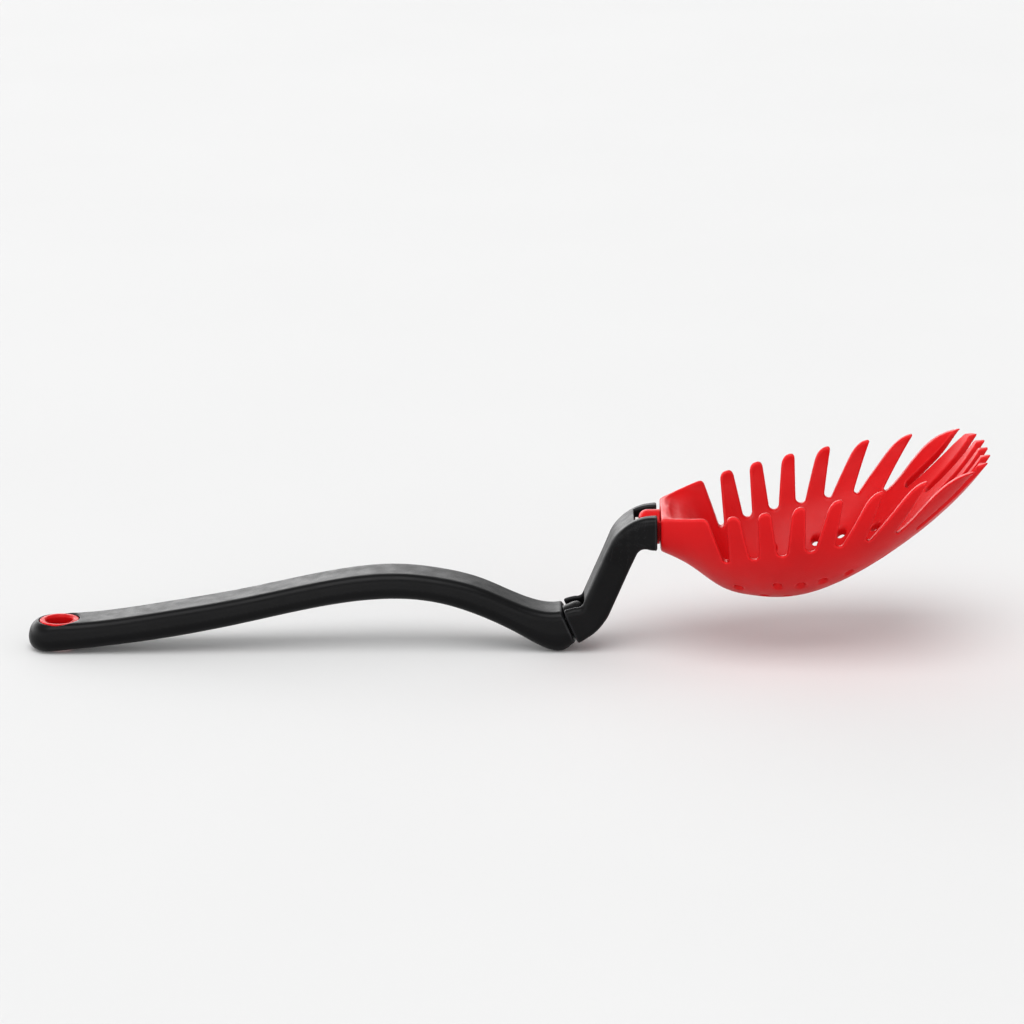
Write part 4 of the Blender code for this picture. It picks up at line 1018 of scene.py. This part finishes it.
class Paint:
    """Builds one procedural material from nodes."""

    def __init__(self, name):
        self.made = bpy.data.materials.new(name)
        self.made.use_nodes = True
        self.tree = self.made.node_tree
        self.shader = self.tree.nodes["Principled BSDF"]
        self.coordinates = self.tree.nodes.new("ShaderNodeTexCoord")

    def link(self, source, target):
        self.tree.links.new(source, target)

    def noise(self, scale, detail, stretch=None):
        made = self.tree.nodes.new("ShaderNodeTexNoise")
        made.inputs["Scale"].default_value = scale
        made.inputs["Detail"].default_value = detail
        source = self.coordinates.outputs["Object"]
        if stretch:
            mapping = self.tree.nodes.new("ShaderNodeMapping")
            mapping.inputs["Scale"].default_value = stretch
            self.link(source, mapping.inputs["Vector"])
            source = mapping.outputs["Vector"]
        self.link(source, made.inputs["Vector"])
        return made.outputs["Fac"]

    def ramp(self, source, stops):
        """A colour or a grey that changes from stop to stop, each a place and a value."""
        made = self.tree.nodes.new("ShaderNodeValToRGB")
        elements = made.color_ramp.elements
        for element, (place, value) in zip(elements, stops):
            element.position = place
            color = value if isinstance(value, tuple) else (value, value, value)
            element.color = (*color, 1.0)
        self.link(source, made.inputs["Fac"])
        return made.outputs["Color"]

    def edges(self):
        """One on the outer edges that the piece's mesh marks."""
        made = self.tree.nodes.new("ShaderNodeAttribute")
        made.attribute_name = "edge"
        return made.outputs["Fac"]

    def color(self, source):
        self.link(source, self.shader.inputs["Base Color"])

    def rough(self, source, low, high):
        """Uneven gloss, between two roughnesses."""
        self.link(self.ramp(source, ((0.3, low), (0.7, high))), self.shader.inputs["Roughness"])

    def bump(self, *layers):
        """Layers of height, distance in metres and strength, one bump node upon another."""
        normal = None
        for height, distance, strength in layers:
            made = self.tree.nodes.new("ShaderNodeBump")
            made.inputs["Distance"].default_value = distance
            made.inputs["Strength"].default_value = strength
            self.link(height, made.inputs["Height"])
            if normal:
                self.link(normal, made.inputs["Normal"])
            normal = made.outputs["Normal"]
        self.link(normal, self.shader.inputs["Normal"])

    def set(self, **values):
        for name, value in values.items():
            self.shader.inputs[name.replace("_", " ")].default_value = value


def red_plastic():
    paint = Paint("red_nylon_grain")
    base = paint.ramp(paint.noise(scale=55, detail=4), ((0.30, RED_DEEP), (0.72, RED_BRIGHT)))
    worn = paint.ramp(paint.edges(), ((0.2, 0.0), (1.0, 0.45)))
    paint.color(mix_node(paint.tree, "RGBA", worn, base, (*RED_WORN, 1.0)))
    paint.rough(paint.noise(scale=260, detail=3), 0.30, 0.42)
    paint.bump((paint.noise(scale=1800, detail=2), GRAIN_HEIGHT, 0.70),
               (paint.noise(scale=420, detail=2), WAVE_HEIGHT, 0.15))
    paint.set(Subsurface_Weight=0.03, Subsurface_Scale=0.0010, IOR=1.50, Specular_IOR_Level=0.24)
    return paint.made


def black_plastic():
    paint = Paint("black_nylon_grain")
    base = paint.ramp(paint.noise(scale=40, detail=4), ((0.30, BLACK_DEEP), (0.75, BLACK_BRIGHT)))
    worn = paint.ramp(paint.edges(), ((0.0, 0.0), (1.0, 0.8)))
    paint.color(mix_node(paint.tree, "RGBA", worn, base, (*BLACK_WORN, 1.0)))
    paint.rough(paint.noise(scale=220, detail=3), 0.28, 0.40)
    paint.bump((paint.noise(scale=1900, detail=2), GRAIN_HEIGHT, 0.70),
               (paint.noise(scale=300, detail=2), WAVE_HEIGHT, 0.10))
    paint.set(IOR=1.50, Specular_IOR_Level=0.18)
    return paint.made


def spring_steel():
    paint = Paint("spring_steel_brushed")
    lines = paint.noise(scale=900, detail=3, stretch=(1, 1, 12))
    paint.color(paint.ramp(lines, ((0.3, STEEL_DARK), (0.7, STEEL_BRIGHT))))
    paint.rough(lines, 0.22, 0.38)
    paint.bump((lines, 0.00001, 0.3))
    paint.set(Metallic=1.0)
    return paint.made


def white_acetal():
    paint = Paint("white_acetal_moulded")
    cloud = paint.noise(scale=500, detail=3)
    paint.color(paint.ramp(cloud, ((0.3, WHITE_DULL), (0.7, WHITE_BRIGHT))))
    paint.rough(cloud, 0.28, 0.40)
    paint.bump((paint.noise(scale=2400, detail=2), 0.00002, 0.3))
    return paint.made


def black_rubber():
    paint = Paint("black_rubber_matte")
    cloud = paint.noise(scale=800, detail=3)
    paint.color(paint.ramp(cloud, ((0.3, RUBBER_DARK), (0.7, RUBBER_PALE))))
    paint.rough(cloud, 0.60, 0.78)
    paint.bump((paint.noise(scale=2200, detail=2), WAVE_HEIGHT, 0.5))
    return paint.made


PAINTS = {
    "red_nylon": red_plastic(),
    "black_nylon": black_plastic(),
    "spring_steel": spring_steel(),
    "white_acetal": white_acetal(),
    "black_rubber": black_rubber(),
}


def finish_piece(piece, body, slot_name, *nodes):
    """Paints a piece, hangs it on the body that carries it, and hides the nodes that it stands in for."""
    piece.data.materials.clear()
    piece.data.materials.append(PAINTS[slot_name])
    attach(piece, body)
    if nodes:
        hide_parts(*nodes)


FRAME1 = Matrix.Translation(Vector(SWIVEL1)) @ Matrix.Rotation(-TILT, 4, "Y")
FRAME2 = Matrix.Translation(Vector(SWIVEL2)) @ Matrix.Rotation(math.pi, 4, "Z")
finish_piece(make_bowl(), "head", "red_nylon", "head_bowl")
finish_piece(make_handle(), "handle", "black_nylon", "handle_grip")
finish_piece(make_hang_ring(), "handle", "red_nylon", "hang_ring")
finish_piece(make_elbow(), "elbow", "black_nylon", "elbow_link")
handle_boss = make_spigot("handle_pivot_boss", SLIT1, math.pi, FRAME1)
finish_piece(handle_boss, "handle", "black_nylon", "handle_spigot")
head_boss = make_spigot("head_pivot_boss", SLIT2, 0.0, FRAME2)
finish_piece(head_boss, "head", "red_nylon", "head_spigot")

# The other nodes keep their CAD shape
for node in frame["nodes"].values():
    for place in node.material_slots:
        for slot_name, paint in PAINTS.items():
            if place.material and place.material.name.startswith(slot_name) and place.material != paint:
                place.material = paint
                break


# Camera: the photograph's viewpoint, rolled and shifted so that the spoon lies level in this frame
CAMERA_LENS = 141.7
SENSOR_WIDTH = 36.0
CAMERA_FAR = 20.0
CAMERA_PLACE = (0.020995, -1.33352, 0.427704)
CAMERA_YAW = math.radians(0.786)
CAMERA_DROP = math.radians(15.87)
CAMERA_ROLL = math.radians(0.41)
CAMERA_SHIFT = 0.00039


def make_camera():
    forward = Vector((-math.sin(CAMERA_YAW) * math.cos(CAMERA_DROP),
                      math.cos(CAMERA_YAW) * math.cos(CAMERA_DROP), -math.sin(CAMERA_DROP)))
    right = Vector((math.cos(CAMERA_YAW), math.sin(CAMERA_YAW), 0))
    up = right.cross(forward)
    turn = Matrix((right, up, -forward)).transposed().to_4x4()
    data = bpy.data.cameras.new("camera")
    data.lens = CAMERA_LENS
    data.sensor_width = SENSOR_WIDTH
    data.clip_end = CAMERA_FAR
    camera = bpy.data.objects.new("camera", data)
    bpy.context.scene.collection.objects.link(camera)
    camera.matrix_world = (Matrix.Translation((-CAMERA_SHIFT, 0, 0)) @ Matrix.Rotation(CAMERA_ROLL, 4, "Y")
                           @ Matrix.Translation(CAMERA_PLACE) @ turn)
    bpy.context.scene.camera = camera


def make_floor():
    bm = bmesh.new()
    bmesh.ops.create_grid(bm, x_segments=1, y_segments=1, size=FLOOR_SIZE)
    mesh = bpy.data.meshes.new("floor")
    bm.to_mesh(mesh)
    bm.free()
    floor = bpy.data.objects.new("floor", mesh)
    bpy.context.scene.collection.objects.link(floor)
    paint = Paint("pale_floor")
    paint.color(paint.ramp(paint.noise(scale=6, detail=2), ((0.2, FLOOR_DULL), (0.8, FLOOR_BRIGHT))))
    paint.set(Roughness=0.9, Specular_IOR_Level=0.1)
    paint.set(Emission_Color=(1, 1, 1, 1), Emission_Strength=FLOOR_GLOW)
    floor.data.materials.append(paint.made)


# Sky: how bright its parts are, and the directions between which one fades into the next
SKY_FRONT = 2.50
SKY_TOP = 0.60
SKY_BACK_LEFT = 3.50
SKY_BACK_RIGHT = 0.50
FRONT_TO_TOP = (0.20, 0.45)
BACK_TO_TOP = (0.30, 0.60)
RIGHT_TO_LEFT = (0.30, -0.15)
FRONT_TO_BACK = (-0.25, 0.45)

SOFTBOX_STRENGTH = 2.00
SOFTBOX_ANGLE = math.radians(50)
SOFTBOX_TURN = (math.radians(24), math.radians(-6), 0)
VIEW_GAMMA = 0.85


def sky_fade(tree, direction, reach, first, second):
    """One brightness before a reach of directions and another past it, eased between them."""
    spread = tree.nodes.new("ShaderNodeMapRange")
    spread.interpolation_type = "SMOOTHSTEP"
    spread.inputs["From Min"].default_value = reach[0]
    spread.inputs["From Max"].default_value = reach[1]
    tree.links.new(direction, spread.inputs["Value"])
    return mix_node(tree, "FLOAT", spread.outputs["Result"], first, second)


def make_sky():
    """A dim room with a low bright wall at the front, and another at the back and to the left."""
    world = bpy.data.worlds.new("studio")
    world.use_nodes = True
    tree = world.node_tree
    axes = tree.nodes.new("ShaderNodeSeparateXYZ")
    tree.links.new(tree.nodes.new("ShaderNodeTexCoord").outputs["Generated"], axes.inputs["Vector"])
    across, along, up = (axes.outputs[name] for name in "XYZ")
    front = sky_fade(tree, up, FRONT_TO_TOP, SKY_FRONT, SKY_TOP)
    back = sky_fade(tree, across, RIGHT_TO_LEFT, SKY_BACK_RIGHT, SKY_BACK_LEFT)
    back = sky_fade(tree, up, BACK_TO_TOP, back, SKY_TOP)
    strength = sky_fade(tree, along, FRONT_TO_BACK, front, back)
    tree.links.new(strength, tree.nodes["Background"].inputs["Strength"])
    tree.nodes["Background"].inputs["Color"].default_value = (1, 1, 1, 1)
    bpy.context.scene.world = world


def make_softbox():
    """A wide soft light from overhead, far enough away to light the floor evenly."""
    data = bpy.data.lights.new("softbox", "SUN")
    data.energy = SOFTBOX_STRENGTH
    data.angle = SOFTBOX_ANGLE
    light = bpy.data.objects.new("softbox", data)
    light.rotation_euler = SOFTBOX_TURN
    bpy.context.scene.collection.objects.link(light)


make_camera()
make_floor()
make_sky()
make_softbox()
bpy.context.scene.view_settings.view_transform = "Standard"
bpy.context.scene.view_settings.gamma = VIEW_GAMMA
